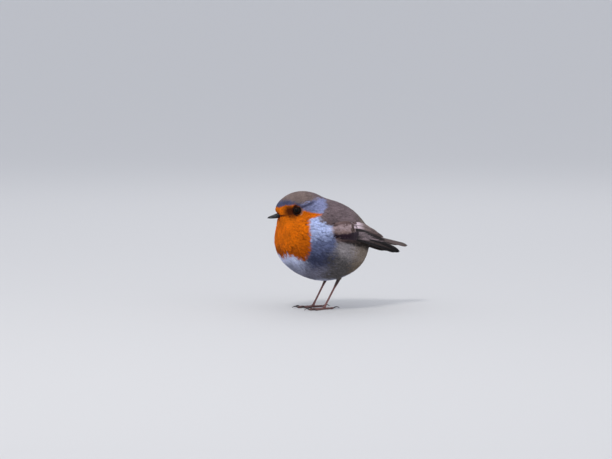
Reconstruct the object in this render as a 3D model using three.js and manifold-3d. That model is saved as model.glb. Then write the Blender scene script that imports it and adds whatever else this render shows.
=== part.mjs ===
// A European robin at rest, life size, as one group of named solids in millimetres.
// +Z is up, the bird faces -Y, its left side is +X, and it stands on the plane z = 0.
// The middle of its bounding box lies over the origin.
import * as THREE from "three";
import { mergeVertices } from "three/addons/utils/BufferGeometryUtils.js";
import Module from "manifold-3d";

const wasm = await Module();
wasm.setup();
const { Manifold, Mesh } = wasm;
const RAD = Math.PI / 180;

// ---------------------------------------------------------------- driving dimensions
const GAP = 0.3; // clearance left between neighbouring parts
const BLEND = 3; // how softly the forms of the plumage run into one another
const BODY_CENTRE = [0, -20, 57]; // the trunk and neck are measured outwards from here
const HEAD_CENTRE = [-1.5, -33, 75];
const BODY_DETAIL = 10;
const HEAD_DETAIL = 8;

const HEAD_TURN = 18; // degrees the head is turned to the bird's right
const BILL_TIP = [-9.3, -57.7, 70.6];
const BILL_SLOPE = 10; // degrees the bill points below the horizontal
const BILL_LENGTH = 15; // from its tip to its root inside the face
const EYE_BEHIND_TIP = 21.7;
const EYE_OFF_MIDDLE = 7.6; // from the middle of the head to the middle of the eyeball
const EYE_HEIGHT = 76.7;
const EYE_RADIUS = 3.3;
// The face is hollowed a little round each eye: an ellipsoid beside the head, taken away softly.
const HOLLOW = { offMiddle: 15.8, behindTip: 21, height: 76.4, size: [6, 9.5, 5.7], blend: 1.6 };
// The feathers stand back from the sides and underside of the bill in the same way.
const BILL_HOLLOW = { behindTip: 4.4, height: 71.8, size: [4.4, 6.6, 3.3], blend: 0.8 };

const TAIL_ROOT = [0, 4.7, 60.3];
const TAIL_TIP = [0, 57.9, 46.5];
const TAIL_FEATHERS = 12;
const TAIL_HALF_WIDTH = { root: 5.5, end: 8.8 };
const TAIL_NOTCH = 2.2;
const TAIL_ARCH = 2.4;
const TAIL_THICKNESS = { root: 1.8, end: 0.8 };

const ANKLE = { side: 9.5, y: -5, z: 22.6 };
const TOE_JOINT = { side: 9, y: -18.2, z: 1.7 };
const SHANK_TOP = { side: 11, y: -11, z: 35 };
const TARSUS_RADII = { ankle: 1.15, shaft: 0.75, foot: 0.9 };
const TOE_HEIGHT = 0.75; // the toes' centre line above the floor, under their own radius

// Each form is an ellipsoid of plumage: [centre, half-sizes, turn to the bird's right, slope to the rear].
const PLUMAGE = {
  belly: [[0, -12.8, 50.2], [28, 32, 28.8], 0, 0],
  vent: [[0, 3, 43.5], [18, 16, 15], 0, 0],
  breast: [[0, -25.1, 52.5], [27, 27.6, 24.5], 0, 0],
  mantle: [[0, -8.3, 62], [21.5, 29, 19.8], 0, 24],
  rump: [[0, 6.9, 53], [16, 13, 12], 0, 20],
  tailCoverts: [[0, 16.5, 57], [9.5, 13.5, 4.6], 0, 15],
  hindCrown: [[0, -27.8, 77], [13.2, 13.6, 12.4], HEAD_TURN, 0],
  forehead: [[-2.2, -35.3, 77], [7.4, 12.6, 12.4], HEAD_TURN, 0],
  face: [[-4.7, -43, 75.6], [4.4, 8.6, 8.4], HEAD_TURN, 0],
  throat: [[-1, -25.3, 62.5], [15, 22, 12], HEAD_TURN / 2, 0],
};

// Cuts that part the body: a point on each, its lateral turn, and the slope of the cut from nape to throat.
const NECK_CUTS = {
  head: { at: [0, -11.7, 85.9], turn: HEAD_TURN / 2, slope: 29 },
  trunk: { at: [0, -2.8, 82.9], turn: 0, slope: 32.7 },
};

// Rows of a folded wing from its bend to its tip, left side:
// [y, x of lower edge, z of lower edge, x of upper edge, z of upper edge, thickness].
const COVERTS = [
  [-23.3, 27.8, 60.8, 27.4, 64.0, 1.0],
  [-21.8, 29.1, 59.2, 27.9, 65.6, 1.8],
  [-18.3, 29.9, 57.2, 27.4, 67.4, 2.4],
  [-10.3, 30.1, 55.3, 26.1, 68.4, 2.6],
  [-3.5, 29.3, 54.6, 24.9, 67.6, 2.4],
  [1.2, 27.7, 56.2, 24.3, 66.2, 1.8],
  [3.7, 26.4, 59.0, 24.6, 63.5, 1.0],
];
const TERTIALS = [
  [-1.5, 26.5, 61.5, 23.4, 66.7, 1.8],
  [10.3, 22.0, 59.9, 18.0, 65.0, 1.6],
  [22.0, 15.8, 56.6, 11.0, 61.2, 1.3],
  [29.3, 12.9, 53.9, 9.8, 56.6, 1.0],
  [33.9, 11.3, 52.6, 10.2, 53.7, 0.8],
];
const PRIMARIES = [
  [-0.8, 27.5, 53.9, 25.2, 61.6, 1.5],
  [10.3, 23.8, 52.2, 20.8, 60.3, 1.4],
  [21.6, 17.4, 49.8, 14.4, 57.0, 1.3],
  [32.3, 13.1, 46.1, 10.8, 53.6, 1.1],
  [42.5, 10.4, 42.2, 9.3, 47.6, 0.9],
  [47.2, 9.0, 41.2, 8.6, 43.8, 0.7],
  [49.0, 8.5, 41.2, 8.3, 42.2, 0.6],
];
const WING_CAMBER = 0.9;

// Toes: [direction out from straight ahead, length, claw length]; the hind toe points back.
const TOES = {
  inner: [-17, 9.2, 4.0],
  middle: [3, 13.2, 4.4],
  outer: [21, 10.3, 4.0],
  hind: [184, 8.4, 5.6],
};

// ---------------------------------------------------------------- small tools
const vec = (p) => new THREE.Vector3(...p);
const mix = (a, b, t) => a + (b - a) * t;

/** A closed solid from points and triangles, turned the right way out. */
function solidFrom(points, faces) {
  const cross = new THREE.Vector3();
  let volume = 0;
  for (const [a, b, c] of faces) {
    volume += points[a].dot(cross.crossVectors(points[b], points[c]));
  }
  const triVerts = new Uint32Array(
    faces.flatMap(([a, b, c]) => (volume > 0 ? [a, b, c] : [a, c, b])),
  );
  const vertProperties = new Float32Array(points.flatMap((p) => [p.x, p.y, p.z]));
  return new Manifold(new Mesh({ numProp: 3, vertProperties, triVerts }));
}

/** The corners and triangles of a three.js shape, with coinciding corners joined. */
function weld(geometry) {
  const bare = new THREE.BufferGeometry();
  bare.setAttribute("position", geometry.getAttribute("position"));
  if (geometry.index) bare.setIndex(geometry.index);
  const welded = mergeVertices(bare, 1e-4);
  const place = welded.getAttribute("position");
  const points = [];
  for (let i = 0; i < place.count; i++) {
    points.push(new THREE.Vector3().fromBufferAttribute(place, i));
  }
  const faces = [];
  for (let i = 0; i < welded.index.count; i += 3) {
    faces.push([0, 1, 2].map((k) => welded.index.getX(i + k)));
  }
  return { points, faces };
}

/** A skin over rings of equal count, closed at both ends. */
function loft(rings) {
  const count = rings[0].length;
  const points = rings.flat();
  const faces = [];
  for (let r = 0; r + 1 < rings.length; r++) {
    for (let i = 0; i < count; i++) {
      const a = r * count + i;
      const b = r * count + ((i + 1) % count);
      faces.push([a, b, b + count], [a, b + count, a + count]);
    }
  }
  for (const [first, flip] of [[0, false], [(rings.length - 1) * count, true]]) {
    const middle = new THREE.Vector3();
    for (let i = 0; i < count; i++) middle.add(points[first + i]);
    points.push(middle.divideScalar(count));
    for (let i = 0; i < count; i++) {
      const a = first + i;
      const b = first + ((i + 1) % count);
      faces.push(flip ? [points.length - 1, a, b] : [points.length - 1, b, a]);
    }
  }
  return solidFrom(points, faces);
}

/** A round rod along a path; radii are given point by point. */
function rod(path, radii, sides = 8, flatness = 1) {
  const rings = path.map((p, i) => {
    const ahead = path[Math.min(i + 1, path.length - 1)];
    const along = ahead.clone().sub(path[Math.max(i - 1, 0)]).normalize();
    const across = new THREE.Vector3().crossVectors(along, new THREE.Vector3(0, 0, 1));
    if (across.length() < 0.05) across.set(1, 0, 0);
    across.normalize();
    const over = new THREE.Vector3().crossVectors(across, along);
    const ring = [];
    for (let k = 0; k < sides; k++) {
      const turn = (k / sides) * 2 * Math.PI;
      ring.push(
        p.clone()
          .addScaledVector(across, Math.cos(turn) * radii[i] * flatness)
          .addScaledVector(over, Math.sin(turn) * radii[i]),
      );
    }
    return ring;
  });
  return loft(rings);
}

/** The half of space that lies above a cut running down from nape to throat. */
function above(cut, lift) {
  const box = new THREE.BoxGeometry(300, 300, 300);
  box.translate(0, 0, 150 + lift);
  box.rotateX(cut.slope * RAD);
  box.rotateZ(-cut.turn * RAD);
  box.translate(...cut.at);
  const { points, faces } = weld(box);
  return solidFrom(points, faces);
}

// ---------------------------------------------------------------- the head's own directions
const forward = new THREE.Vector3(0, -1, 0).applyAxisAngle(
  new THREE.Vector3(0, 0, 1),
  -HEAD_TURN * RAD,
);
const headLeft = new THREE.Vector3(0, 0, 1).cross(forward);

/** A place on the head: behind the bill tip, off the middle to the bird's left, at a height. */
function onHead(behindTip, offMiddle, height) {
  return vec(BILL_TIP)
    .addScaledVector(forward, -behindTip)
    .addScaledVector(headLeft, offMiddle)
    .setZ(height);
}

// ---------------------------------------------------------------- plumage
/** An ellipsoid ready to be measured against. */
function ellipsoid(centre, size, turn, slope) {
  const intoForm = new THREE.Matrix4()
    .makeRotationZ(-turn * RAD)
    .multiply(new THREE.Matrix4().makeRotationX(-slope * RAD))
    .transpose();
  return { centre, size: vec(size), intoForm };
}

/** How far a point lies outside an ellipsoid: below zero is inside. */
function outsideOf({ centre, size, intoForm }, point) {
  const local = point.clone().sub(centre).applyMatrix4(intoForm).divide(size);
  const reach = local.length();
  return (reach * (reach - 1)) / local.divide(size).length();
}

const forms = Object.values(PLUMAGE).map(([centre, size, turn, slope]) =>
  ellipsoid(vec(centre), size, turn, slope),
);
const hollows = [
  [HOLLOW, HOLLOW.offMiddle],
  [HOLLOW, -HOLLOW.offMiddle],
  [BILL_HOLLOW, 0],
].map(([{ behindTip, height, size, blend }, offMiddle]) => ({
  form: ellipsoid(onHead(behindTip, offMiddle, height), size, HEAD_TURN, 0),
  blend,
}));

/** The larger of two depths, rounded over where they meet. */
const softMax = (a, b, blend) =>
  Math.max(a, b) + blend * Math.log(1 + Math.exp(-Math.abs(a - b) / blend));

/** How far a point lies outside the plumage: below zero is inside. */
function outside(point) {
  const depths = forms.map((form) => outsideOf(form, point));
  const nearest = Math.min(...depths);
  const spread = depths.reduce((sum, d) => sum + Math.exp((nearest - d) / BLEND), 0);
  return hollows.reduce(
    (depth, { form, blend }) => softMax(depth, -outsideOf(form, point), blend),
    nearest - BLEND * Math.log(spread),
  );
}

/** The plumage as a closed skin, each corner found by walking out from a centre. */
function plumageFrom(centre, detail) {
  const start = vec(centre);
  const { points, faces } = weld(new THREE.IcosahedronGeometry(1, detail));
  const step = 1.5;
  const reached = points.map((direction) => {
    let near = 0;
    while (outside(start.clone().addScaledVector(direction, near + step)) < 0) {
      near += step;
    }
    let far = near + step;
    for (let i = 0; i < 14; i++) {
      const half = (near + far) / 2;
      if (outside(start.clone().addScaledVector(direction, half)) < 0) near = half;
      else far = half;
    }
    return start.clone().addScaledVector(direction, near);
  });
  return solidFrom(reached, faces);
}

// ---------------------------------------------------------------- bill and eyes
const billForward = forward.clone().multiplyScalar(Math.cos(BILL_SLOPE * RAD));
billForward.z = -Math.sin(BILL_SLOPE * RAD);
const billUp = new THREE.Vector3().crossVectors(billForward, headLeft);

/** Half a bill: rows of [distance behind the tip, half-width, height above or below the gape]. */
function halfBill(rows, sign, grow) {
  const arch = 7; // points over the rounded side
  const gape = (GAP / 2 - grow) * sign;
  return loft(
    rows.map(([back, halfWidth, height], i) => {
      const along = i === 0 ? back - grow : back + (i === rows.length - 1 ? grow : 0);
      const ring = [];
      for (let k = 0; k < arch; k++) {
        const turn = (k / (arch - 1)) * Math.PI;
        ring.push(
          vec(BILL_TIP)
            .addScaledVector(billForward, -along)
            .addScaledVector(headLeft, Math.cos(turn) * (halfWidth + grow))
            .addScaledVector(billUp, gape + Math.sin(turn) * (height + 2 * grow) * sign),
        );
      }
      return ring;
    }),
  );
}
const upperBill = (grow) =>
  halfBill(
    [
      [0, 0.25, 0.35],
      [1.2, 0.55, 0.75],
      [3.5, 0.95, 1.2],
      [6.5, 1.5, 1.7],
      [9.5, 2.1, 2.1],
      [BILL_LENGTH, 2.6, 2.4],
    ],
    1,
    grow,
  );
const lowerBill = (grow) =>
  halfBill(
    [
      [0.7, 0.2, 0.3],
      [2.0, 0.6, 0.65],
      [4.5, 1.0, 1.05],
      [7.0, 1.5, 1.35],
      [9.5, 1.95, 1.5],
      [BILL_LENGTH, 2.4, 1.6],
    ],
    -1,
    grow,
  );

/** An eyeball; side is +1 for the left eye. */
function eye(side, grow) {
  const ball = new THREE.IcosahedronGeometry(EYE_RADIUS + grow, 2);
  ball.translate(...onHead(EYE_BEHIND_TIP, side * EYE_OFF_MIDDLE, EYE_HEIGHT));
  const { points, faces } = weld(ball);
  return solidFrom(points, faces);
}

// ---------------------------------------------------------------- wings and tail
/** One layer of a folded wing, a cambered blade; side is +1 for the left wing. */
function wingLayer(rows, side, grow) {
  const stations = [0, 0.3, 0.7, 1];
  return loft(
    rows.map(([y, xLow, zLow, xHigh, zHigh, thickness], i) => {
      const low = new THREE.Vector2(xLow, zLow);
      const up = new THREE.Vector2(xHigh, zHigh).sub(low);
      const height = up.length();
      up.normalize();
      const out = new THREE.Vector2(up.y, -up.x);
      const end = i === 0 ? -grow : i === rows.length - 1 ? grow : 0;
      const edge = (s, depth) => {
        const bulge = WING_CAMBER * 4 * s * (1 - s);
        const p = low.clone().addScaledVector(up, mix(-grow, height + grow, s));
        p.addScaledVector(out, bulge - depth);
        return new THREE.Vector3(side * p.x, y + end, p.y);
      };
      const outer = stations.map((s) => edge(s, -grow));
      const inner = stations.map((s) => {
        const share = s === 0 || s === 1 ? 0.75 : 1;
        return edge(s, thickness * share + grow);
      });
      return [...outer, ...inner.reverse()];
    }),
  );
}

/** The closed tail: long feathers side by side, a low arch across and a shallow notch at the end. */
function tail(grow) {
  const root = vec(TAIL_ROOT);
  const run = vec(TAIL_TIP).sub(root);
  const length = run.length();
  run.normalize();
  const lift = new THREE.Vector3(1, 0, 0).cross(run);
  const columns = TAIL_FEATHERS * 2;
  const rows = [0, 0.35, 0.7, 0.9, 1];
  return loft(
    rows.map((along) => {
      const halfWidth = mix(TAIL_HALF_WIDTH.root, TAIL_HALF_WIDTH.end, along) + grow;
      const thickness = mix(TAIL_THICKNESS.root, TAIL_THICKNESS.end, along) / 2 + grow;
      const place = (column, sign) => {
        const across = (column / columns) * 2 - 1;
        const notch = TAIL_NOTCH * Math.max(0, 1 - Math.abs(across) * 1.6);
        const corner = 3.2 * Math.max(0, Math.abs(across) - 0.75) ** 2 * 16;
        const scallop = column % 2 === 0 ? 0.6 : 0;
        const reach = length - (notch + corner + scallop) * along ** 2 + (along > 0 ? grow : -grow);
        const arch = -TAIL_ARCH * across ** 2;
        return root.clone()
          .addScaledVector(run, along === 0 ? -grow : reach * along)
          .addScaledVector(lift, arch + sign * thickness)
          .add(new THREE.Vector3(across * halfWidth, 0, 0));
      };
      const top = [];
      const under = [];
      for (let c = 0; c <= columns; c++) {
        top.push(place(c, 1));
        under.unshift(place(c, -1));
      }
      return [...top, ...under];
    }),
  );
}

// ---------------------------------------------------------------- legs and feet
const jointOf = (joint, side) => new THREE.Vector3(side * joint.side, joint.y, joint.z);

/** The feathered lower leg, from inside the belly down to the ankle. */
function shank(side, grow) {
  const top = jointOf(SHANK_TOP, side);
  const ankle = jointOf(ANKLE, side);
  const down = ankle.clone().sub(top).normalize();
  const path = [0, 0.3, 0.65, 1].map((t) => top.clone().lerp(ankle, t));
  path[0].addScaledVector(down, -grow);
  path[3].addScaledVector(down, grow);
  return rod(path, [3.4, 3.7, 2.9, 1.7].map((r) => r + grow), 10);
}

/** The bare leg between ankle and toes, a little deeper than it is wide. */
function tarsus(side) {
  const ankle = jointOf(ANKLE, side);
  const foot = jointOf(TOE_JOINT, side);
  const along = foot.clone().sub(ankle);
  const clear = (GAP + TARSUS_RADII.ankle) / along.length();
  const path = [clear, 0.13, 0.25, 0.8, 0.92, 1 - clear * 0.9]
    .map((t) => ankle.clone().lerp(foot, t));
  const { ankle: big, shaft, foot: low } = TARSUS_RADII;
  return rod(path, [big * 0.85, big, shaft, shaft, low, low * 0.9], 8, 0.8);
}

/** Direction of a toe on the floor, seen from its joint. */
function toeHeading(side, out) {
  return new THREE.Vector3(side * Math.sin(out * RAD), -Math.cos(out * RAD), 0);
}

/** The four toes of one foot, with padded joints and soles that lie flat on the floor. */
function foot(side) {
  const joint = jointOf(TOE_JOINT, side);
  const root = new THREE.Vector3(joint.x, joint.y, TOE_HEIGHT + 0.25);
  let made = rod(
    [joint.clone().add(new THREE.Vector3(0, 0, 0.2)), root.clone().setZ(0.5)],
    [1.05, 1.3],
    8,
  );
  for (const [out, length] of Object.values(TOES)) {
    const heading = toeHeading(side, out);
    const at = (share) => {
      const p = root.clone().addScaledVector(heading, length * share);
      return p.setZ(TOE_HEIGHT);
    };
    const path = [root, at(0.3), at(0.42), at(0.65), at(0.78), at(0.92), at(1)];
    made = made.add(rod(path, [1.0, 0.78, 0.92, 0.74, 0.9, 0.78, 0.5], 8));
  }
  const floor = new THREE.BoxGeometry(60, 60, 20);
  floor.translate(joint.x, joint.y, -10);
  const { points, faces } = weld(floor);
  return made.subtract(solidFrom(points, faces));
}

/** A claw: it leaves the toe level, bows up and comes down to a point just over the floor. */
function claw(side, [out, toeLength, clawLength]) {
  const joint = jointOf(TOE_JOINT, side);
  const heading = toeHeading(side, out);
  const start = toeLength + GAP;
  const path = [0, 0.3, 0.6, 0.85, 1].map((t) => {
    const p = joint.clone().addScaledVector(heading, start + clawLength * t);
    return p.setZ(TOE_HEIGHT + 1.1 * Math.sin(t * Math.PI * 0.8) - 0.95 * t * t);
  });
  return rod(path, [0.5, 0.46, 0.38, 0.28, 0.16], 6);
}

// ---------------------------------------------------------------- cutting the bird into its parts
const SIDES = { left: 1, right: -1 };
const wings = Object.fromEntries(
  Object.entries(SIDES).map(([name, side]) => {
    const coverts = wingLayer(COVERTS, side, 0);
    const aroundCoverts = wingLayer(COVERTS, side, GAP);
    const tertials = wingLayer(TERTIALS, side, 0).subtract(aroundCoverts);
    const primaries = wingLayer(PRIMARIES, side, 0)
      .subtract(aroundCoverts)
      .subtract(wingLayer(TERTIALS, side, GAP));
    return [name, { coverts, tertials, primaries }];
  }),
);

const fromBody = plumageFrom(BODY_CENTRE, BODY_DETAIL);
const fromHead = plumageFrom(HEAD_CENTRE, HEAD_DETAIL);
let head = fromHead.intersect(above(NECK_CUTS.head, GAP / 2));
const neck = fromBody
  .subtract(above(NECK_CUTS.head, -GAP / 2))
  .intersect(above(NECK_CUTS.trunk, GAP / 2));
let trunk = fromBody.subtract(above(NECK_CUTS.trunk, -GAP / 2));

head = head.subtract(upperBill(GAP)).subtract(lowerBill(GAP));
trunk = trunk.subtract(tail(GAP));
for (const side of Object.values(SIDES)) {
  head = head.subtract(eye(side, GAP));
  trunk = trunk
    .subtract(shank(side, GAP))
    .subtract(wingLayer(COVERTS, side, GAP))
    .subtract(wingLayer(TERTIALS, side, GAP))
    .subtract(wingLayer(PRIMARIES, side, GAP));
}

// ---------------------------------------------------------------- the group of named parts
const bird = new THREE.Group();
bird.name = "european_robin";

/** Adds one named part to the bird. */
function add(name, solid, color, roughness, metalness = 0) {
  const made = solid.getMesh();
  const geometry = new THREE.BufferGeometry();
  geometry.setAttribute("position", new THREE.BufferAttribute(made.vertProperties, 3));
  geometry.setIndex(new THREE.BufferAttribute(made.triVerts, 1));
  geometry.computeVertexNormals();
  const part = new THREE.Mesh(
    geometry,
    new THREE.MeshStandardMaterial({ color, roughness, metalness }),
  );
  part.name = name;
  bird.add(part);
}

const BROWN = 0x6b5f52;
const ORANGE = 0xc9620f;
const GREY = 0x9aa2b4;
const FLIGHT = 0x3d342d;
const HORN = 0x1d1c20;
const LEG = 0x7a4a40;

add("head", head, ORANGE, 0.9);
add("neck", neck, ORANGE, 0.9);
add("trunk", trunk, GREY, 0.9);
add("tail", tail(0), FLIGHT, 0.8);
add("upper_bill", upperBill(0), HORN, 0.35);
add("lower_bill", lowerBill(0), HORN, 0.35);
for (const [name, side] of Object.entries(SIDES)) {
  add(`${name}_eye`, eye(side, 0), 0x0a0808, 0.1);
  add(`${name}_wing_coverts`, wings[name].coverts, BROWN, 0.85);
  add(`${name}_wing_tertials`, wings[name].tertials, BROWN, 0.8);
  add(`${name}_wing_primaries`, wings[name].primaries, FLIGHT, 0.75);
  add(`${name}_shank`, shank(side, 0), BROWN, 0.9);
  add(`${name}_tarsus`, tarsus(side), LEG, 0.6);
  add(`${name}_foot`, foot(side), LEG, 0.6);
  for (const [toe, size] of Object.entries(TOES)) {
    add(`${name}_${toe}_claw`, claw(side, size), HORN, 0.4);
  }
}

export default bird;
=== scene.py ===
# %% [markdown]
# # A European robin, life size
# The bird is made from the inside out, the way it grows: a skin, then the bill, eyes and
# legs that come through it, then the coat of small feathers, and last the long feathers of
# wings and tail. All lengths are worked out in millimetres and turned into metres when a
# mesh is made. The bird faces -Y, its left side is +X, and it stands on z = 0.

import itertools
import math

import bmesh
import bpy
import numpy as np
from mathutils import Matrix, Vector


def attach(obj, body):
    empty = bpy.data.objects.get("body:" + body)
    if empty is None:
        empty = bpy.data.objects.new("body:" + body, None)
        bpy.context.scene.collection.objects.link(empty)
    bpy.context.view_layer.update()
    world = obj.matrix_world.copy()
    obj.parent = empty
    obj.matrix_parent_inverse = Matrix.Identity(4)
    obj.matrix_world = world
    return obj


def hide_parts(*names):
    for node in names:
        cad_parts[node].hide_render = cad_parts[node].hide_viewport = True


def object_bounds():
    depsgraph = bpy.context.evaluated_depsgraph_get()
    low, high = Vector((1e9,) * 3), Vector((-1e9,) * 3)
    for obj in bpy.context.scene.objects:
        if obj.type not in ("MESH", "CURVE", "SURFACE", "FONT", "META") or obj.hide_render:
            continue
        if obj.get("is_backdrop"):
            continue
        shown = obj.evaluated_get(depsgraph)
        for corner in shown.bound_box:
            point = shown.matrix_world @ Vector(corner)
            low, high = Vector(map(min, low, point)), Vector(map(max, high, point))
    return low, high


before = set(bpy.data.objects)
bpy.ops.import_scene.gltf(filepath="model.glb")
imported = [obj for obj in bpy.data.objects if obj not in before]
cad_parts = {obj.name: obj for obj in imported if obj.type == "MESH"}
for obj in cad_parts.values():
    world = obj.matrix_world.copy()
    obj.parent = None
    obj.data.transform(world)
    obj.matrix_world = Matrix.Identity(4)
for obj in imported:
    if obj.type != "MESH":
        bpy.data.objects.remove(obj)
cad_low, cad_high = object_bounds()
MM = 0.001
rng = np.random.default_rng(1889)
print("solids span", [round(1000 * (h - l), 1) for l, h in zip(cad_low, cad_high)], "mm")

# %% [markdown]
# ## The form under the feathers
# A bird's outline is the outline of its feathers. It could be sculpted, or lofted from
# sections. Here it is a handful of ellipsoids that melt into one another, because a formula
# also tells every feather how far it lies from the skin and which way is out.


# %% The forms that melt together
def unit(v):
    return v / np.maximum(np.linalg.norm(v, axis=-1, keepdims=True), 1e-9)


def smooth(low, high, x):
    t = np.clip((x - low) / (high - low), 0.0, 1.0)
    return t * t * (3 - 2 * t)


HEAD_TURN = 18.0  # degrees to the bird's right
BILL_TIP = np.array([-9.3, -57.7, 70.6])
FORWARD = np.array([-math.sin(math.radians(HEAD_TURN)), -math.cos(math.radians(HEAD_TURN)), 0.0])
HEAD_LEFT = np.array([-FORWARD[1], FORWARD[0], 0.0])
SIDES = {"left": 1.0, "right": -1.0}


def on_side(place, side):
    """A place that is given for the left side, on either side."""
    return place * np.array([side, 1, 1])


def on_head(behind_tip, off_middle, height):
    place = BILL_TIP - behind_tip * FORWARD + off_middle * HEAD_LEFT
    return np.array([place[0], place[1], height])


# centre, half-sizes, turn to the right, slope down to the rear
FORMS = {
    "belly": ([0, -12.8, 50.2], [28, 32, 28.8], 0, 0),
    "vent": ([0, 3, 43.5], [18, 16, 15], 0, 0),
    "breast": ([0, -25.1, 52.5], [27, 27.6, 24.5], 0, 0),
    "mantle": ([0, -8.3, 62], [21.5, 29, 19.8], 0, 24),
    "rump": ([0, 6.9, 53], [16, 13, 12], 0, 20),
    "tail coverts": ([0, 16.5, 57], [9.5, 13.5, 4.6], 0, 15),
    "hind crown": ([0, -27.8, 77], [13.2, 13.6, 12.4], HEAD_TURN, 0),
    "forehead": ([-2.2, -35.3, 77], [7.4, 12.6, 12.4], HEAD_TURN, 0),
    "face": ([-4.7, -43, 75.6], [4.4, 8.6, 8.4], HEAD_TURN, 0),
    "throat": ([-1, -25.3, 62.5], [15, 22, 12], HEAD_TURN / 2, 0),
}
BLEND = 3.0
# The coat stands back from the eyes and from the bill: centre, half-sizes, softness.
HOLLOWS = [
    (on_head(21, 15.8, 76.4), [6, 9.5, 5.7], 1.6),
    (on_head(21, -15.8, 76.4), [6, 9.5, 5.7], 1.6),
    (on_head(4.4, 0, 71.8), [4.4, 6.6, 3.3], 0.8),
]


def ellipsoid(points, centre, size, turn, slope):
    a, b = math.radians(-turn), math.radians(-slope)
    flat = np.array([[math.cos(a), -math.sin(a), 0], [math.sin(a), math.cos(a), 0], [0, 0, 1]])
    tilt = np.array([[1, 0, 0], [0, math.cos(b), -math.sin(b)], [0, math.sin(b), math.cos(b)]])
    local = (points - np.array(centre)) @ (flat @ tilt) / np.array(size)
    reach = np.linalg.norm(local, axis=-1)
    slope_there = np.linalg.norm(local / np.array(size), axis=-1)
    return reach * (reach - 1) / np.maximum(slope_there, 1e-9)


def melt(depths, blend):
    stack = np.stack(depths)
    nearest = stack.min(axis=0)
    return nearest - blend * np.log(np.exp((nearest - stack) / blend).sum(axis=0))


ANKLE = np.array([9.5, -5.0, 22.6])
SHANK_TOP = np.array([11.0, -11.0, 35.0])


def shank_form(points, side):
    """The feathered lower leg: a drop that narrows to the ankle."""
    low, high = on_side(ANKLE, side), on_side(SHANK_TOP, side)
    axis = high - low
    length = np.linalg.norm(axis)
    along = (points - low) @ (axis / length)
    away = np.linalg.norm(points - low - along[..., None] * (axis / length), axis=-1)
    radius = 1.5 + 2.4 * smooth(-1, 9, along)
    return np.maximum.reduce([away - radius, -along, along - length])


def plumage(points):
    """Distance outside the feathered outline; below zero is inside."""
    depth = melt([ellipsoid(points, *form) for form in FORMS.values()], BLEND)
    for centre, size, softness in HOLLOWS:
        depth = -melt([-depth, ellipsoid(points, centre, size, HEAD_TURN, 0)], softness)
    return melt([depth, shank_form(points, 1), shank_form(points, -1)], 0.8)


def outward(points, field=plumage, step=0.05):
    """Which way is out at each point, and how far out it already is."""
    here = field(points)
    rise = [field(points + step * axis) - here for axis in np.eye(3)]
    return unit(np.stack(rise, axis=-1)), here


crown_top = np.array([[-1.0, -29.0, 91.0]])
print("the outline is", round(float(plumage(crown_top)[0]), 2), "mm under a point over the crown")

# %% [markdown]
# ## Meshes from arrays
# Thousands of feathers are far too many objects. They are worked out as arrays of numbers
# and put into one mesh at a time. Three things travel with each mesh: its colour, a map
# along and across each feather, and the map that a baked picture of it would use.


# %% One helper for every mesh
def make_mesh(name, points, faces, slot, material, colours=None, maps=None):
    """points in millimetres, faces as an array of triangles or quads."""
    mesh = bpy.data.meshes.new(name)
    corner_count = faces.shape[1]
    mesh.vertices.add(len(points))
    mesh.vertices.foreach_set("co", (points * MM).astype(np.float32).ravel())
    mesh.loops.add(faces.size)
    mesh.loops.foreach_set("vertex_index", faces.astype(np.int32).ravel())
    mesh.polygons.add(len(faces))
    mesh.polygons.foreach_set("loop_start", np.arange(0, faces.size, corner_count, dtype=np.int32))
    mesh.update(calc_edges=True)
    mesh.polygons.foreach_set("use_smooth", np.full(len(faces), True))
    if colours is not None:
        layer = mesh.color_attributes.new("plume", "FLOAT_COLOR", "POINT")
        rgba = np.ones((len(points), 4), np.float32)
        rgba[:, :3] = colours
        layer.data.foreach_set("color", rgba.ravel())
    for map_name, places in (maps or {}).items():
        layer = mesh.uv_layers.new(name=map_name)
        layer.data.foreach_set("uv", places[faces.ravel()].astype(np.float32).ravel())
    mesh.validate()
    mesh.materials.append(material)
    piece = bpy.data.objects.new(name, mesh)
    bpy.context.scene.collection.objects.link(piece)
    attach(piece, "root")
    return piece


def tube(path, radii_across, radii_up, sides=12, up=(0, 0, 1)):
    """A closed rod through the points of a path; returns its points and triangles."""
    path = np.asarray(path, float)
    along = unit(np.gradient(path, axis=0))
    across = unit(np.cross(along, np.array(up, float)))
    over = np.cross(across, along)
    turn = np.arange(sides) / sides * 2 * math.pi
    rings = (
        path[:, None]
        + across[:, None] * (np.cos(turn) * np.asarray(radii_across)[:, None])[..., None]
        + over[:, None] * (np.sin(turn) * np.asarray(radii_up)[:, None])[..., None]
    )
    return close_rings(rings)


def close_rings(rings):
    """Triangles over rings of points, with both ends closed."""
    count, sides = rings.shape[:2]
    middles = [rings[0].mean(0)[None], rings[-1].mean(0)[None]]
    points = np.concatenate([rings.reshape(-1, 3), *middles])
    ring, step = np.meshgrid(np.arange(count - 1), np.arange(sides), indexing="ij")
    a = (ring * sides + step).ravel()
    b = (ring * sides + (step + 1) % sides).ravel()
    walls = np.concatenate([np.stack([a, b, b + sides], 1), np.stack([a, b + sides, a + sides], 1)])
    s = np.arange(sides)
    first, last = count * sides, count * sides + 1
    lid = np.stack([np.full(sides, first), (s + 1) % sides, s], 1)
    end = (count - 1) * sides
    far = np.stack([np.full(sides, last), end + s, end + (s + 1) % sides], 1)
    return points, np.concatenate([walls, lid, far])


def join(parts):
    """Several (points, faces) pairs as one."""
    points, faces, start = [], [], 0
    for p, f in parts:
        points.append(p)
        faces.append(f + start)
        start += len(p)
    return np.concatenate(points), np.concatenate(faces)


rod_points, rod_faces = tube([(0, 0, 0), (1, 0, 0)], [1, 1], [1, 1])
print("the shortest rod has", len(rod_points), "points and", len(rod_faces), "triangles")

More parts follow.
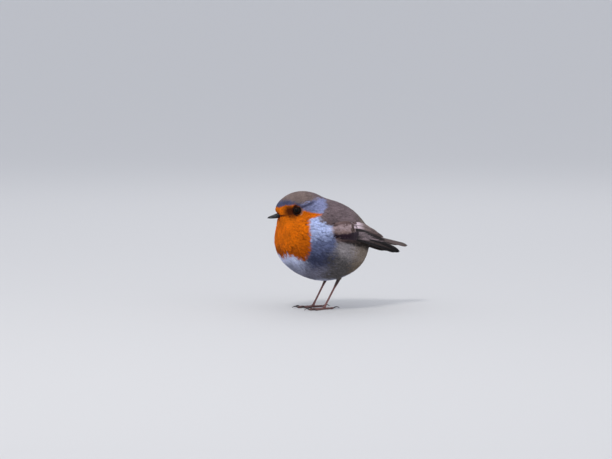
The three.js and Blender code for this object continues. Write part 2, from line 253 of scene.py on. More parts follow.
# %% [markdown]
# ## Colours and finishes
# The bird's colours are few: an orange face and breast, a blue-grey edge round it, a warm
# grey-brown back, whitish belly and darker flight feathers. Each is named once. A shader
# takes the colour that a mesh carries and adds what every feather has, which is fine lines
# and small changes of tone.


# %% The palette
def colour(red, green, blue):
    """From the 0 to 255 values of a paint chart to light."""
    c = np.array([red, green, blue]) / 255.0
    return np.where(c <= 0.04045, c / 12.92, ((c + 0.055) / 1.055) ** 2.4)


ORANGE = colour(224, 113, 0)
DEEP_ORANGE = colour(164, 76, 2)
# Dark russet: the gape's own colour, and painted shade between bill and eye.
RUSSET_GAPE_AND_SHADE = colour(50, 12, 4)
BLUE_GREY = colour(140, 145, 182)
SLATE = colour(82, 84, 112)
PALE_BREAST = colour(186, 198, 236)
GREY_BREAST = colour(98, 105, 138)
WHITE_BELLY = colour(208, 214, 242)
# Painted shade: the breast's grey, darkened where the breast turns under.
BREAST_GREY_PAINTED_SHADE = colour(64, 68, 94)
LOW_GREY = colour(118, 117, 134)
FLANK = colour(150, 143, 144)
# Painted shade: the flank's colour, darkened for its lower part.
FLANK_PAINTED_SHADE = colour(88, 84, 84)
OLIVE = colour(116, 100, 80)
WING_SHADE = colour(24, 18, 16)
CROWN = colour(128, 111, 106)
MANTLE = colour(118, 102, 105)
SCAPULAR = colour(108, 88, 86)
RUMP = colour(112, 100, 92)
COVERT = colour(128, 106, 101)
ALULA = colour(44, 30, 40)
FRINGE = colour(226, 204, 212)
REMEX = colour(48, 38, 37)
REMEX_DARK = colour(14, 11, 13)
TAIL_BROWN = colour(84, 68, 62)
HORN = colour(14, 13, 19)
LEG = colour(128, 88, 84)
BUFF = colour(206, 160, 140)
print("orange, as light:", ORANGE.round(3))


# %% Helpers for shaders
def finish(name, roughness, sheen=0.0, coat=0.0, specular=0.4):
    """A new material: returns it with its node tree and its main shader."""
    made = bpy.data.materials.new(name)
    made.use_nodes = True
    shader = made.node_tree.nodes["Principled BSDF"]
    settings = {
        "Roughness": roughness,
        "Sheen Weight": sheen,
        "Sheen Roughness": 0.5,
        "Coat Weight": coat,
        "Coat Roughness": 0.2,
        "Specular IOR Level": specular,
    }
    for socket, value in settings.items():
        shader.inputs[socket].default_value = value
    return made, made.node_tree, shader


def node(tree, kind, feeds=(), **values):
    """A node with its settings made, and with feeds linked to its first inputs."""
    made = tree.nodes.new(kind)
    for key, value in values.items():
        if key in made.inputs:
            made.inputs[key].default_value = value
        else:
            setattr(made, key, value)
    for socket, feed in zip(made.inputs, feeds):
        tree.links.new(feed, socket)
    return made


def own_colour(tree):
    """The colour that the mesh carries."""
    return node(tree, "ShaderNodeVertexColor", layer_name="plume").outputs["Color"]


def clouds(tree, grain, detail):
    """Soft noise over the piece, at a scale in millimetres."""
    place = node(tree, "ShaderNodeTexCoord").outputs["Object"]
    noise = node(tree, "ShaderNodeTexNoise", [place], Scale=1.0 / (grain * MM), Detail=detail)
    return noise.outputs["Fac"]


def tone_over(tree, colour_out, factor_out, darker, lighter):
    """Multiplies a colour by a factor that runs from darker to lighter."""
    spread = node(tree, "ShaderNodeMapRange", [factor_out])
    spread.inputs["To Min"].default_value = darker
    spread.inputs["To Max"].default_value = lighter
    times = node(tree, "ShaderNodeVectorMath", [colour_out], operation="SCALE")
    tree.links.new(spread.outputs["Result"], times.inputs["Scale"])
    return times.outputs["Vector"]


def dress(tree, shader, colour_out, height_out, strength, depth):
    """Gives the shader its colour and a fine relief, with the depth in millimetres."""
    tree.links.new(colour_out, shader.inputs["Base Color"])
    raised = node(tree, "ShaderNodeBump", Strength=strength, Distance=depth * MM)
    tree.links.new(height_out, raised.inputs["Height"])
    tree.links.new(raised.outputs["Normal"], shader.inputs["Normal"])


# %% Feather, horn and bare skin
FLECK, FINE_GRAIN = 1.6, 0.25  # mm
BARB_LINE = 0.26  # mm from line to line on a long feather


def soft_feather_finish(name):
    """Body feather: the mesh's own colour, flecked, and a grain as fine as hair."""
    made, tree, shader = finish(name, 0.9, sheen=0.03, specular=0.1)
    flecked = tone_over(tree, own_colour(tree), clouds(tree, FLECK, 4.0), 0.78, 1.22)
    dress(tree, shader, flecked, clouds(tree, FINE_GRAIN, 2.0), 0.15, 0.1)
    return made


def vane_finish(name):
    """Long feather: fine lines run out from the shaft towards the tip."""
    made, tree, shader = finish(name, 0.55, specular=0.16)
    vane = node(tree, "ShaderNodeUVMap", uv_map="Vane").outputs["UV"]
    across, along, _ = node(tree, "ShaderNodeSeparateXYZ", [vane]).outputs
    wave = across
    steps = {"ABSOLUTE": (), "SUBTRACT": (along,), "MULTIPLY": (), "SINE": ()}
    for operation, first in steps.items():
        maths = node(tree, "ShaderNodeMath", [*first, wave], operation=operation)
        if operation == "MULTIPLY":
            maths.inputs[1].default_value = 2 * math.pi / BARB_LINE
        wave = maths.outputs["Value"]
    lines = node(tree, "ShaderNodeMapRange", [wave])
    lines.inputs["From Min"].default_value = -1.0
    lined = tone_over(tree, own_colour(tree), lines.outputs["Result"], 0.82, 1.1)
    toned = tone_over(tree, lined, clouds(tree, 2.5, 3.0), 0.82, 1.18)
    dress(tree, shader, toned, lines.outputs["Result"], 0.5, 0.08)
    return made


def hard_finish(name, base, roughness, coat, grain, strength, bump):
    """Horn and scaly skin: one colour, or the mesh's own, clouded and pitted."""
    made, tree, shader = finish(name, roughness, coat=coat, specular=0.3)
    if base is None:
        plain = own_colour(tree)
    else:
        plain = node(tree, "ShaderNodeRGB").outputs[0]
        plain.default_value = (*base, 1)
    pits = clouds(tree, grain, 5.0)
    clouded = tone_over(tree, plain, pits, 1 - strength, 1 + strength)
    dress(tree, shader, clouded, pits, bump, 0.1)
    return made


soft_feather = soft_feather_finish("soft_feather")
stiff_feather = vane_finish("stiff_feather")
horn = hard_finish("bill_horn", HORN, 0.3, 0.12, 1.2, 0.5, 0.12)
claw_horn = hard_finish("claw_horn", colour(44, 34, 34), 0.4, 0.2, 0.8, 0.4, 0.15)
leg_skin = hard_finish("leg_skin", None, 0.5, 0.1, 0.7, 0.3, 0.5)
lid_skin = hard_finish("lid_skin", colour(30, 19, 17), 0.8, 0.0, 0.5, 0.3, 0.4)
print("finishes:", [made.name for made in bpy.data.materials])

# %% [markdown]
# ## Markings and painted shade
# Skin and feathers are coloured by the same rule, so a gap in the coat never shows a wrong
# colour. The rule works on places on the bird: how far behind the bill a point is, how far
# round the side and how high. The head's part of the rule turns with the head. The rule
# also paints shade: under the folded wing, low on the breast and flank, behind the neck and
# between bill and eye.

# %% Where each colour lies
BIB_EDGE = 29.8  # how far behind the bill tip the orange ends on the side
# Lines that colours end on. How far off the middle, and height:
BIB_LOW = [
    (0, 39), (4, 41.5), (8, 43.2), (13, 42.7),
    (17.3, 39.7), (20.3, 41.4), (23.5, 45.4), (30, 60),
]
# How far behind the bill tip, and height:
BROW = [
    (0, 79), (9, 79.4), (13, 80.6), (20.6, 81.6), (23.5, 80.2),
    (25, 78.3), (27.5, 76.6), (36, 76.2), (40, 75),
]
CROWN_LINE = [(0, 82), (8, 83), (11, 84.2), (16, 84.4), (24, 82), (31, 84), (38, 85.6), (60, 86)]
# Height, and y:
NECK_LINE = [
    (56, -19), (58, -19.7), (64, -20.4), (66.5, -23.5), (69, -27),
    (72, -27.6), (76, -23.6), (81, -18.3), (86, -16.5),
]
# y, and height:
WING_LINE = [(-19, 56.4), (-10, 54), (-3.5, 52.6), (10, 50.2), (22, 47.5)]


def along_line(table, x):
    xs, ys = zip(*table)
    return np.interp(x, xs, ys)


def mixed(a, b, share):
    return a + (b - a) * np.asarray(share)[..., None]


def patch(a, b):
    """One at the middle of a soft patch, and less the further off in either way."""
    return np.exp(-(a**2) - b**2)


# %% Back, under side and neck
def upper_side(y, z, lateral, wander):
    made = mixed(MANTLE, CROWN, smooth(-22, -32, y + wander))
    made = mixed(made, SCAPULAR, smooth(70, 66, z + wander) * smooth(18, 22, lateral))
    made = mixed(made, RUMP, smooth(0, 16, y + 2 * wander))
    # Painted shade: a darker patch in the recess behind the neck, over the bend of the wing.
    hollow_shade = patch((y + 19) / 7, (z - 68) / 4) * (lateral > 14)
    return made * (1 - 0.38 * hollow_shade)[..., None]


def breast_grey(z, wander):
    """Grey beside the orange: pale at the neck, with painted shade where the breast turns under."""
    made = mixed(BREAST_GREY_PAINTED_SHADE, GREY_BREAST, smooth(39, 51, z + 1.5 * wander))
    made = mixed(made, LOW_GREY, smooth(38, 29, z + 1.5 * wander))
    return mixed(made, PALE_BREAST, smooth(53, 63, z + 1.5 * wander))


def under_side(y, z, lateral, wander):
    """Flank and belly, with painted shade low on the flank and breast and under the folded wing."""
    # Painted shade: the flank darkens towards the bottom and the front.
    made = mixed(FLANK_PAINTED_SHADE, FLANK, smooth(37, 49, z + 0.4 * (y + 14) + 1.4 * wander))
    made = mixed(made, OLIVE, 0.75 * smooth(-8, 8, y + 3 * wander))
    made = mixed(made, WHITE_BELLY, smooth(13, 5, lateral + wander) * smooth(42, 34, z) * 0.8)
    made = mixed(made, breast_grey(z, wander), smooth(-15, -29, y + 3 * wander))
    white = smooth(-31, -39, y + 1.5 * wander) * smooth(22, 12, lateral + wander)
    made = mixed(made, WHITE_BELLY, white * (0.35 + 0.65 * smooth(33, 39, z + wander)))
    # Painted shade: a darker patch low on the breast, where it turns under.
    made = made * (1 - 0.3 * patch((y + 24) / 8, (z - 40.5) / 5))[..., None]
    drop = along_line(WING_LINE, y) - z
    band = np.interp(y, [-19, -4, 16], [1.4, 3, 6])
    shade = smooth(band, 0.3 * band, drop + 0.4 * wander) * (drop > -5)
    return mixed(made, WING_SHADE, 0.93 * shade * smooth(-20, -16, y) * (lateral > 11))


def neck_side(z, behind, wander):
    """Pale grey, with a dark line from the eye to the nape and a shade over the eye."""
    made = mixed(breast_grey(z, wander), BLUE_GREY, smooth(70, 77, z))
    stripe = 79.5 + 0.43 * (behind - 25)
    line = smooth(1.6, 0.5, np.abs(z - stripe)) * smooth(23, 25, behind)
    made = mixed(made, SLATE, line * smooth(38, 33, behind))
    return mixed(made, SLATE, smooth(27, 22, behind) * smooth(76, 79, z))


# %% Face, bib and the whole rule
def face(z, behind, side, round_front, wander):
    """Orange, with painted shade from bill to eye, a dark gape and a buff rim behind the eye."""
    made = mixed(ORANGE, DEEP_ORANGE, 0.95 * smooth(54, 43, z + 3 * wander))
    deep = 0.6 * smooth(16, 29, round_front + wander) * smooth(66, 54, z + wander)
    made = mixed(made, DEEP_ORANGE, deep)
    off_eye = np.hypot(behind - 21.7, z - 76.9)
    # Painted shade in the recess between bill and eye, and round the front of the eye.
    lores_shade = np.maximum(
        0.94 * smooth(7, 2.2, np.hypot(0.8 * (behind - 17.4), z - 76.0 + 0.6 * wander)),
        smooth(5.4, 3.9, off_eye) * smooth(25, 21, behind),
    )
    gape = 0.85 * smooth(1.3, 0.4, np.abs(z - 72.9 - 0.14 * (behind - 11)))
    gape = gape * smooth(18, 12, behind)
    made = mixed(made, RUSSET_GAPE_AND_SHADE, np.maximum(lores_shade, gape) * (side > 1.6))
    return mixed(made, BUFF, 0.75 * smooth(5.0, 3.9, off_eye) * smooth(23.6, 24.6, behind))


def orange_area(z, behind, lateral, round_front, wander):
    """The bib, and a tongue of orange that runs back from it behind the eye."""
    bib = smooth(0.8, -0.8, round_front - BIB_EDGE)
    bib = bib * smooth(-0.9, 0.9, z + wander - along_line(BIB_LOW, lateral))
    bib = bib * smooth(0.5, -0.5, z + 0.3 * wander - along_line(BROW, behind))
    off_line = np.abs(z - 73.4 - 0.1 * (behind - 30))
    tongue = smooth(0.5, -0.5, off_line - 2.7 * (1 - (behind - 29) / 12))
    tongue = tongue * smooth(40.5, 39.5, behind) * smooth(27, 29, behind) * (z > 66)
    return np.maximum(bib, tongue)


def markings_and_shade(points, wander):
    """The colour at each point; wander shifts the edges by a little, feather by feather."""
    y, z, lateral = points[..., 1], points[..., 2], np.abs(points[..., 0])
    behind = (BILL_TIP - points) @ FORWARD
    side = np.abs((points - BILL_TIP) @ HEAD_LEFT)
    head = smooth(60, 72, z)
    round_front = (1 - head) * (y + 67.5) + head * behind + 0.5 * wander
    low = smooth(57, 51, z + 0.5 * wander + 0.25 * (y + 20) * (y < -20))
    made = mixed(upper_side(y, z, lateral, wander), under_side(y, z, lateral, wander), low)
    ahead = smooth(-1.5, 1.5, along_line(NECK_LINE, z) - y + wander)
    not_crown = smooth(1.2, -1.2, z + 0.7 * wander - along_line(CROWN_LINE, behind))
    neck = ahead * smooth(44, 52, z + wander) * not_crown
    made = mixed(made, neck_side(z, behind, wander), neck)
    orange = face(z, behind, side, round_front, wander)
    made = mixed(made, orange, orange_area(z, behind, lateral, round_front, wander))
    for leg in SIDES.values():
        thigh = smooth(0.8, -0.4, shank_form(points, leg)) * smooth(30, 26, z)
        made = mixed(made, 0.4 * OLIVE, thigh)
    return made


print("colour on top of the crown:", markings_and_shade(crown_top, 0.0)[0].round(3))

# %% [markdown]
# ## Skin
# The skin is one closed surface with no seams. It could be a remeshed join of the solids.
# Instead, a fine ball is blown up from inside the body until each of its points meets the
# skin, which lies under the outline by the depth of the coat: under a millimetre on the
# face and more than two on the body. Each eyeball presses a socket into it.

# %% Blow up the ball
BODY_CENTRE = np.array([0.0, -20.0, 57.0])
EYE_RADIUS = 3.3
EYE_CENTRES = {name: on_head(21.7, side * 7.6, 76.7) for name, side in SIDES.items()}
BILL_BASE = BILL_TIP - 9.5 * FORWARD + np.array([0, 0, 1.6])


def coat_depth(points):
    away = np.linalg.norm(points - BILL_BASE, axis=-1)
    depth = 0.55 + 1.9 * smooth(6, 38, away)
    for side in SIDES.values():
        ankle_distance = np.linalg.norm(points - on_side(ANKLE, side), axis=-1)
        depth = np.minimum(depth, 0.5 + 2.0 * smooth(4, 14, ankle_distance))
    return depth


def under_coat(points):
    depth = plumage(points) + coat_depth(points)
    for centre in EYE_CENTRES.values():
        depth = np.maximum(depth, EYE_RADIUS + 0.05 - np.linalg.norm(points - centre, axis=-1))
    return depth


ball = bmesh.new()
bmesh.ops.create_icosphere(ball, subdivisions=6, radius=1.0)
ball.verts.ensure_lookup_table()
directions = unit(np.array([v.co[:] for v in ball.verts]))
skin_faces = np.array([[v.index for v in f.verts] for f in ball.faces])
ball.free()

START, STEP, HALVINGS = 14.0, 1.2, 9  # first radius, stride outwards, halvings of the last stride
near = np.full(len(directions), START)
going = np.ones(len(directions), bool)
while going.any():
    trial = BODY_CENTRE + directions[going] * (near[going] + STEP)[:, None]
    inside = under_coat(trial) < 0
    at = np.flatnonzero(going)
    near[at[inside]] += STEP
    going[at[~inside]] = False
far = near + STEP
for _ in range(HALVINGS):
    middle = (near + far) / 2
    inside = under_coat(BODY_CENTRE + directions * middle[:, None]) < 0
    near, far = np.where(inside, middle, near), np.where(inside, far, middle)
skin_points = BODY_CENTRE + directions * near[:, None]
skin_colours = 0.85 * markings_and_shade(skin_points, 0.0)
skin = make_mesh("skin", skin_points, skin_faces, "body_plumage", soft_feather, skin_colours)
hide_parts("head", "neck", "trunk", "left_shank", "right_shank")
print("skin:", len(skin_points), "points")

# %% [markdown]
# ## Eyes
# A robin's eye is large, round and nearly black: a dark brown iris round a black pupil
# under a clear wet cornea. It sits in lids, a thin ring of bare skin. The eyeball is a fine
# ball and the ring is a rod that lies on it.

# %% Eyeballs and lids
eye_wet, eye_tree, eye_shader = finish("eye_wet", 0.04, specular=0.07)
eye_tree.links.new(own_colour(eye_tree), eye_shader.inputs["Base Color"])


PUPIL_BLACK, RIM_BLACK = np.full(3, 0.002), np.full(3, 0.003)
LID_STEPS, LID_SIDES = 72, 10


def eye_axis(side):
    tilt = math.radians(14)
    level = side * HEAD_LEFT * math.cos(tilt) + FORWARD * math.sin(tilt)
    return unit(level + np.array([0, 0, 0.07]))


def circle(turn, across, over):
    """Places round a circle of radius one, from two directions in its plane."""
    return np.cos(turn)[..., None] * across + np.sin(turn)[..., None] * over


def eyeball(centre, axis, across, over):
    """A ball of rings round the line of sight, with the cornea's slight bulge."""
    angles = np.linspace(0, math.pi, 49)[1:-1, None, None]
    turns = np.arange(64) / 64 * 2 * math.pi
    bulge = 1 + 0.05 * np.exp(-((angles / 0.5) ** 2))
    rings = np.cos(angles) * axis + np.sin(angles) * circle(turns, across, over)
    return close_rings(centre + EYE_RADIUS * bulge * rings)


def eyelids(centre, axis, across, over):
    """A creased rod that lies on the eyeball, round its opening."""
    turn = np.linspace(0, 2 * math.pi, LID_STEPS + 1)[:-1]
    rim = 2.86 + 0.1 * np.cos(2 * turn)
    lift = np.sqrt((EYE_RADIUS + 0.08) ** 2 - rim**2)
    ring = centre + axis * lift[:, None] + rim[:, None] * circle(turn, across, over)
    out = unit(ring - centre)
    away = unit(ring - centre - axis * lift[:, None])
    crease = 1 + 0.18 * np.cos(turn * 24)
    section = np.arange(LID_SIDES) / LID_SIDES * 2 * math.pi
    lid = (
        ring[:, None]
        + out[:, None] * (0.12 * np.sin(section) * crease[:, None])[..., None]
        + away[:, None] * (0.16 * np.cos(section) + 0.1)[None, :, None]
    )
    grid = np.arange(LID_STEPS * LID_SIDES).reshape(LID_STEPS, LID_SIDES)
    on, over_one = np.roll(grid, -1, axis=0), np.roll(grid, -1, axis=1)
    faces = np.stack([grid, on, np.roll(on, -1, axis=1), over_one], -1)
    return lid.reshape(-1, 3), faces.reshape(-1, 4)


for name, side in SIDES.items():
    centre, axis = EYE_CENTRES[name], eye_axis(side)
    across = unit(np.cross(axis, [0, 0, 1]))
    over = np.cross(across, axis)
    points, faces = eyeball(centre, axis, across, over)
    from_axis = np.arccos(np.clip(unit(points - centre) @ axis, -1, 1))
    iris = mixed(PUPIL_BLACK, colour(30, 17, 10), smooth(0.40, 0.44, from_axis))
    iris = mixed(iris, RIM_BLACK, smooth(0.78, 0.9, from_axis))
    eye = make_mesh(f"{name}_eyeball", points, faces, "eye", eye_wet, iris)
    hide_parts(f"{name}_eye")
    lids = eyelids(centre, axis, across, over)
    make_mesh(f"{name}_eyelids", *lids, "head_plumage", lid_skin)
eye_gap = np.linalg.norm(EYE_CENTRES["left"] - EYE_CENTRES["right"])
print("eyes set", round(float(eye_gap), 1), "mm apart")

# %% [markdown]
# ## Bill
# The bill is a slim awl of black horn in two halves that meet at the gape. A ridge runs
# along its top, its tip turns down by a hair, and a nostril slit lies in a groove near the
# base. Each half is lofted from sections, so its edges stay crisp.

# %% Two halves of horn
BILL_SLOPE = math.radians(10)
BILL_FORWARD = FORWARD * math.cos(BILL_SLOPE) - np.array([0, 0, math.sin(BILL_SLOPE)])
BILL_UP = unit(np.cross(BILL_FORWARD, HEAD_LEFT))
# distance behind the tip, half-width, height
UPPER = [
    (0, 0.1, 0.22), (0.5, 0.32, 0.5), (1.5, 0.58, 0.85), (3.5, 0.95, 1.25),
    (6.5, 1.5, 1.75), (9.5, 2.05, 2.15), (14.8, 2.6, 2.4),
]
LOWER = [
    (0.6, 0.08, 0.15), (1.1, 0.3, 0.4), (2.2, 0.6, 0.68), (4.5, 1.0, 1.08),
    (7, 1.5, 1.38), (9.5, 1.9, 1.5), (14.8, 2.4, 1.6),
]
NOSTRIL = 7.6  # mm behind the tip


def half_bill(rows, sign):
    """One half; only the upper has a ridge, a nostril and a tip that turns down."""
    is_upper = float(sign > 0)
    back, width, height = (np.array(column, float) for column in zip(*rows))
    stations = back[0] + (back[-1] - back[0]) * np.linspace(0, 1, 40) ** 1.4
    width = np.interp(stations, back, width)
    height = np.interp(stations, back, height)
    turn = np.linspace(0, math.pi, 25)
    keel = 1 + 0.10 * is_upper * np.exp(-(((turn - math.pi / 2) / 0.22) ** 2))
    arch = np.sin(turn) ** (1.0 - 0.2 * is_upper) * keel
    slit_along = np.exp(-(((stations - NOSTRIL) / 0.9) ** 2))
    slit_round = np.exp(-(((np.minimum(turn, math.pi - turn) - 0.85) / 0.16) ** 2))
    slit = 0.22 * is_upper * slit_along[:, None] * slit_round
    droop = -0.28 * is_upper * np.exp(-stations / 0.9)
    rings = (
        BILL_TIP
        - BILL_FORWARD * stations[:, None, None]
        + HEAD_LEFT * (np.cos(turn) * (width[:, None] - slit))[..., None]
        + BILL_UP * (sign * (0.1 + arch * (height[:, None] - slit)) + droop[:, None])[..., None]
    )
    return close_rings(rings)


for name, rows, sign in (("upper_bill", UPPER, 1), ("lower_bill", LOWER, -1)):
    bill = make_mesh(name + "_horn", *half_bill(rows, sign), "bill", horn)
    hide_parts(name)
print("the bill is", round(UPPER[-1][0], 1), "mm long to its root")

# %% [markdown]
# ## Legs, toes and claws
# The bare leg is a thin rod sheathed in overlapping plates, and the toes carry rings of
# plates above and soft pads below. Plates could be bump only, but they break the outline of
# so thin a leg, so the rod's radius itself steps from plate to plate.

# %% Scaly rods
TOE_JOINT = np.array([9.0, -18.2, 1.7])
TOE_HEIGHT = 0.75
# degrees out from straight ahead, length, length of the claw
TOES = {
    "inner": (-17, 9.2, 4.0),
    "middle": (3, 13.2, 4.4),
    "outer": (21, 10.3, 4.0),
    "hind": (184, 8.4, 5.6),
}
LEG_PLATE, TOE_PLATE, PLATE_EDGE = 2.6, 0.95, 0.05  # lengths, and how far an edge stands out
# share of the way along, and radius there
LEG_SHAPE = [(0, 1.3), (0.06, 1.38), (0.16, 1.2), (0.34, 0.78), (0.8, 0.72), (0.93, 0.95), (1, 1.0)]
TOE_SHAPE = [
    (0, 0.98), (0.2, 0.86), (0.3, 0.74), (0.42, 0.9), (0.55, 0.7),
    (0.68, 0.72), (0.8, 0.86), (0.93, 0.78), (1, 0.5),
]
CLAW_SHAPE = [(0, 0.42), (0.1, 0.5), (0.5, 0.4), (0.85, 0.26), (1, 0.06)]
KNUCKLE = [1.0, 1.25]  # radius above and below


def plates(travel, length):
    """A sawtooth that swells to the edge of each plate and drops to the next."""
    return (travel / length) % 1.0


def refine(path, step):
    """Close places on a path, how far along each is, and that as a share of the whole."""
    path = np.asarray(path, float)
    travel = np.concatenate([[0], np.cumsum(np.linalg.norm(np.diff(path, axis=0), axis=1))])
    fine = np.linspace(0, travel[-1], max(4, int(travel[-1] / step)))
    places = np.stack([np.interp(fine, travel, path[:, k]) for k in range(3)], 1)
    return places, fine, fine / travel[-1]


def scaly_leg(side):
    top, foot = on_side(ANKLE, side) + [0, -0.4, 0.9], on_side(TOE_JOINT, side) + [0, 0, -0.2]
    path, travel, share = refine([top, foot], 0.14)
    radius = along_line(LEG_SHAPE, share)
    step = PLATE_EDGE * (plates(travel, LEG_PLATE) ** 3)
    return tube(path, radius * 0.78 + step * 0.4, radius + step, sides=20)


def heading(side, out):
    turn = math.radians(out)
    return np.array([side * math.sin(turn), -math.cos(turn), 0])


def toe(side, out, length):
    run = heading(side, out)
    root = on_side(TOE_JOINT, side)
    base = np.array([root[0], root[1], TOE_HEIGHT + 0.3])
    path = np.array([base, base + run * length * 0.3, base + run * length])
    path[1:, 2] = TOE_HEIGHT
    path, travel, share = refine(path, 0.12)
    radius = along_line(TOE_SHAPE, share)
    step = PLATE_EDGE * plates(travel, TOE_PLATE) ** 2
    points, faces = tube(path, radius * 0.9 + step, radius * 0.92 + step, sides=18)
    points[:, 2] = np.maximum(points[:, 2], 0.0)
    return points, faces


def claw(side, out, toe_length, length):
    share = np.linspace(0, 1, 18)
    reach = toe_length - 0.15 + (length + 0.4) * share
    path = on_side(TOE_JOINT, side) + heading(side, out) * reach[:, None]
    path[:, 2] = TOE_HEIGHT + 1.1 * np.sin(share * math.pi * 0.8) - 0.95 * share**2
    radius = along_line(CLAW_SHAPE, share)
    return tube(path, radius * 0.8, radius, sides=12)


print("the leg below the ankle is", round(float(np.linalg.norm(ANKLE - TOE_JOINT)), 1), "mm long")

# %% Two legs and eight toes
for name, side in SIDES.items():
    points, faces = scaly_leg(side)
    # Painted shade: the leg darkens towards its top, where it goes up under the belly feathers.
    leg_shaded_at_top = mixed(LEG, 0.16 * LEG, smooth(14.5, 20.5, points[:, 2]))
    leg = make_mesh(f"{name}_leg_plates", points, faces, "leg_skin", leg_skin, leg_shaded_at_top)
    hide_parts(f"{name}_tarsus")
    joint = on_side(TOE_JOINT, side)
    ends = [joint + [0, 0, 0.5], joint - [0, 0.3, 1.1]]
    knuckle = tube(ends, KNUCKLE, KNUCKLE, 16, up=(0, 1, 0))
    points, faces = join([toe(side, a, b) for a, b, _ in TOES.values()] + [knuckle])
    # The toes are darker towards the floor.
    toes_darker_below = mixed(0.45 * LEG, 0.8 * LEG, smooth(0.2, 1.1, points[:, 2]))
    toes = make_mesh(f"{name}_toes", points, faces, "leg_skin", leg_skin, toes_darker_below)
    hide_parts(f"{name}_foot")
    for toe_name, sizes in TOES.items():
        nail = claw(side, *sizes)
        nail = make_mesh(f"{name}_{toe_name}_claw_horn", *nail, "claw", claw_horn)
        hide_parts(f"{name}_{toe_name}_claw")
print("toes and claws:", len(TOES) * 2)

# %% [markdown]
# ## The wing as a surface
# A folded wing is a stack of feathers that all lie in one curved sheet against the side of
# the body. So the sheet comes first: for every place on the wing seen from the side, it
# says how far out the wing is. A feather is then drawn flat and laid on the sheet.

# %% How far out the wing is
# y, then x and z of the lower edge, then x and z of the upper edge
WING_ROWS = np.array([
    (-23.3, 27.8, 60.8, 27.4, 64.0),
    (-21.8, 29.1, 59.2, 27.9, 65.6),
    (-18.3, 29.9, 57.2, 27.4, 67.4),
    (-10.3, 30.1, 55.3, 26.1, 68.4),
    (-3.5, 29.3, 54.6, 24.9, 67.6),
    (10.3, 23.8, 52.2, 18.0, 65.0),
    (21.8, 17.3, 49.8, 11.2, 61.2),
    (32.1, 13.1, 46.1, 10.0, 54.9),
    (42.5, 10.4, 42.2, 9.3, 47.6),
    (49.0, 8.6, 40.6, 8.2, 43.2),
])


WING_Y, LOW_X, LOW_Z, HIGH_X, HIGH_Z = WING_ROWS.T
WING_BULGE = 0.9


def wing_edges(y):
    """The heights of the wing's lower and upper edge."""
    return np.interp(y, WING_Y, LOW_Z), np.interp(y, WING_Y, HIGH_Z)


def wing_out(y, z):
    """How far from the middle of the bird the folded wing lies."""
    low_x, high_x = np.interp(y, WING_Y, LOW_X), np.interp(y, WING_Y, HIGH_X)
    low_z, high_z = wing_edges(y)
    s = np.clip((z - low_z) / (high_z - low_z), -0.3, 1.3)
    return low_x + (high_x - low_x) * s + WING_BULGE * 4 * np.clip(s * (1 - s), -0.2, 1)


print("the wing lies", round(float(wing_out(-10.0, 60.0)), 1), "mm from the middle at its widest")


# %% A long feather
def vane_shape(share, tip_start, tip_power):
    """Width along a long feather: it opens at once, stays even, and rounds off at the tip."""
    opened = smooth(-0.05, 0.16, share)
    closed = np.clip((share - tip_start) / (1 - tip_start), 0, 1)
    return opened * (1 - closed**tip_power) ** 0.5


def shell_faces(grid):
    """Faces over a grid of points, under its copy below, and round the rim."""
    above = np.stack([grid[:-1, :-1], grid[1:, :-1], grid[1:, 1:], grid[:-1, 1:]], -1).reshape(-1, 4)
    rim = np.concatenate([grid[0, :], grid[1:, -1], grid[-1, -2::-1], grid[-2:0:-1, 0]])
    rim_next = np.roll(rim, -1)
    wall = np.stack([rim, rim_next, rim_next + grid.size, rim + grid.size], -1)
    return np.concatenate([above, above[:, ::-1] + grid.size, wall])


def laid_feather(
    place_on, root, tip, wide, height, tints,
    bend=0.0, shed=0.5, tip_start=0.75, tip_power=2.2, painted_highlight=0.0,
):
    """One long feather as a thin closed shell.

    root and tip are flat places; wide is the half-width of the lower and the upper vane;
    place_on(a, b, height) puts a flat place into space. tints are the colours of the vane,
    its edge and its end. Returns its shell, its colours and its two maps."""
    root, tip = np.array(root, float), np.array(tip, float)
    run = tip - root
    length = np.linalg.norm(run)
    run = run / length
    cross = np.array([-run[1], run[0]])
    s, t = np.meshgrid(np.linspace(0, 1, 26), np.linspace(-1, 1, 11), indexing="ij")
    open_by = vane_shape(s, tip_start, tip_power)
    nicks = rng.normal(0, 0.03, s.shape) * (np.abs(t) > 0.9) * open_by
    reach = np.where(t < 0, wide[0], wide[1]) * (t * open_by * (1 + nicks))
    bow = bend * np.sin(s * math.pi) * length
    flat = root + run * (s * length)[..., None] + cross * (reach + bow)[..., None]
    shaft_ridge = 0.12 * np.exp(-((t / 0.08) ** 2))
    rise = height - 0.22 * np.abs(t) ** 1.5 - shed * (1 - s) ** 2 + shaft_ridge
    top = place_on(flat[..., 0], flat[..., 1], rise)
    under = place_on(flat[..., 0], flat[..., 1], rise - 0.09 * open_by - 0.01)
    points = np.concatenate([top.reshape(-1, 3), under.reshape(-1, 3)])
    faces = shell_faces(np.arange(s.size).reshape(s.shape))

    vane, edge, end = tints
    shade = mixed(vane, edge, smooth(0.68, 0.86, np.abs(t)) * smooth(0.15, 0.4, s))
    shade = mixed(shade, end, smooth(0.9, 1.0, s))
    # Painted highlight: the feather is paler towards its base.
    shade = mixed(shade, FRINGE, painted_highlight * smooth(0.72, 0.34, s))
    shade = mixed(shade, 0.35 * vane, np.exp(-((t / 0.07) ** 2)) * 0.8)
    shade = shade * (1 + rng.normal(0, 0.05))
    layers = [shade, np.stack([reach, s * length], -1), np.stack([t, s], -1)]
    colours, vane_map, own_cell = (np.tile(a.reshape(-1, a.shape[-1]), (2, 1)) for a in layers)
    return (points, faces), colours, vane_map, own_cell


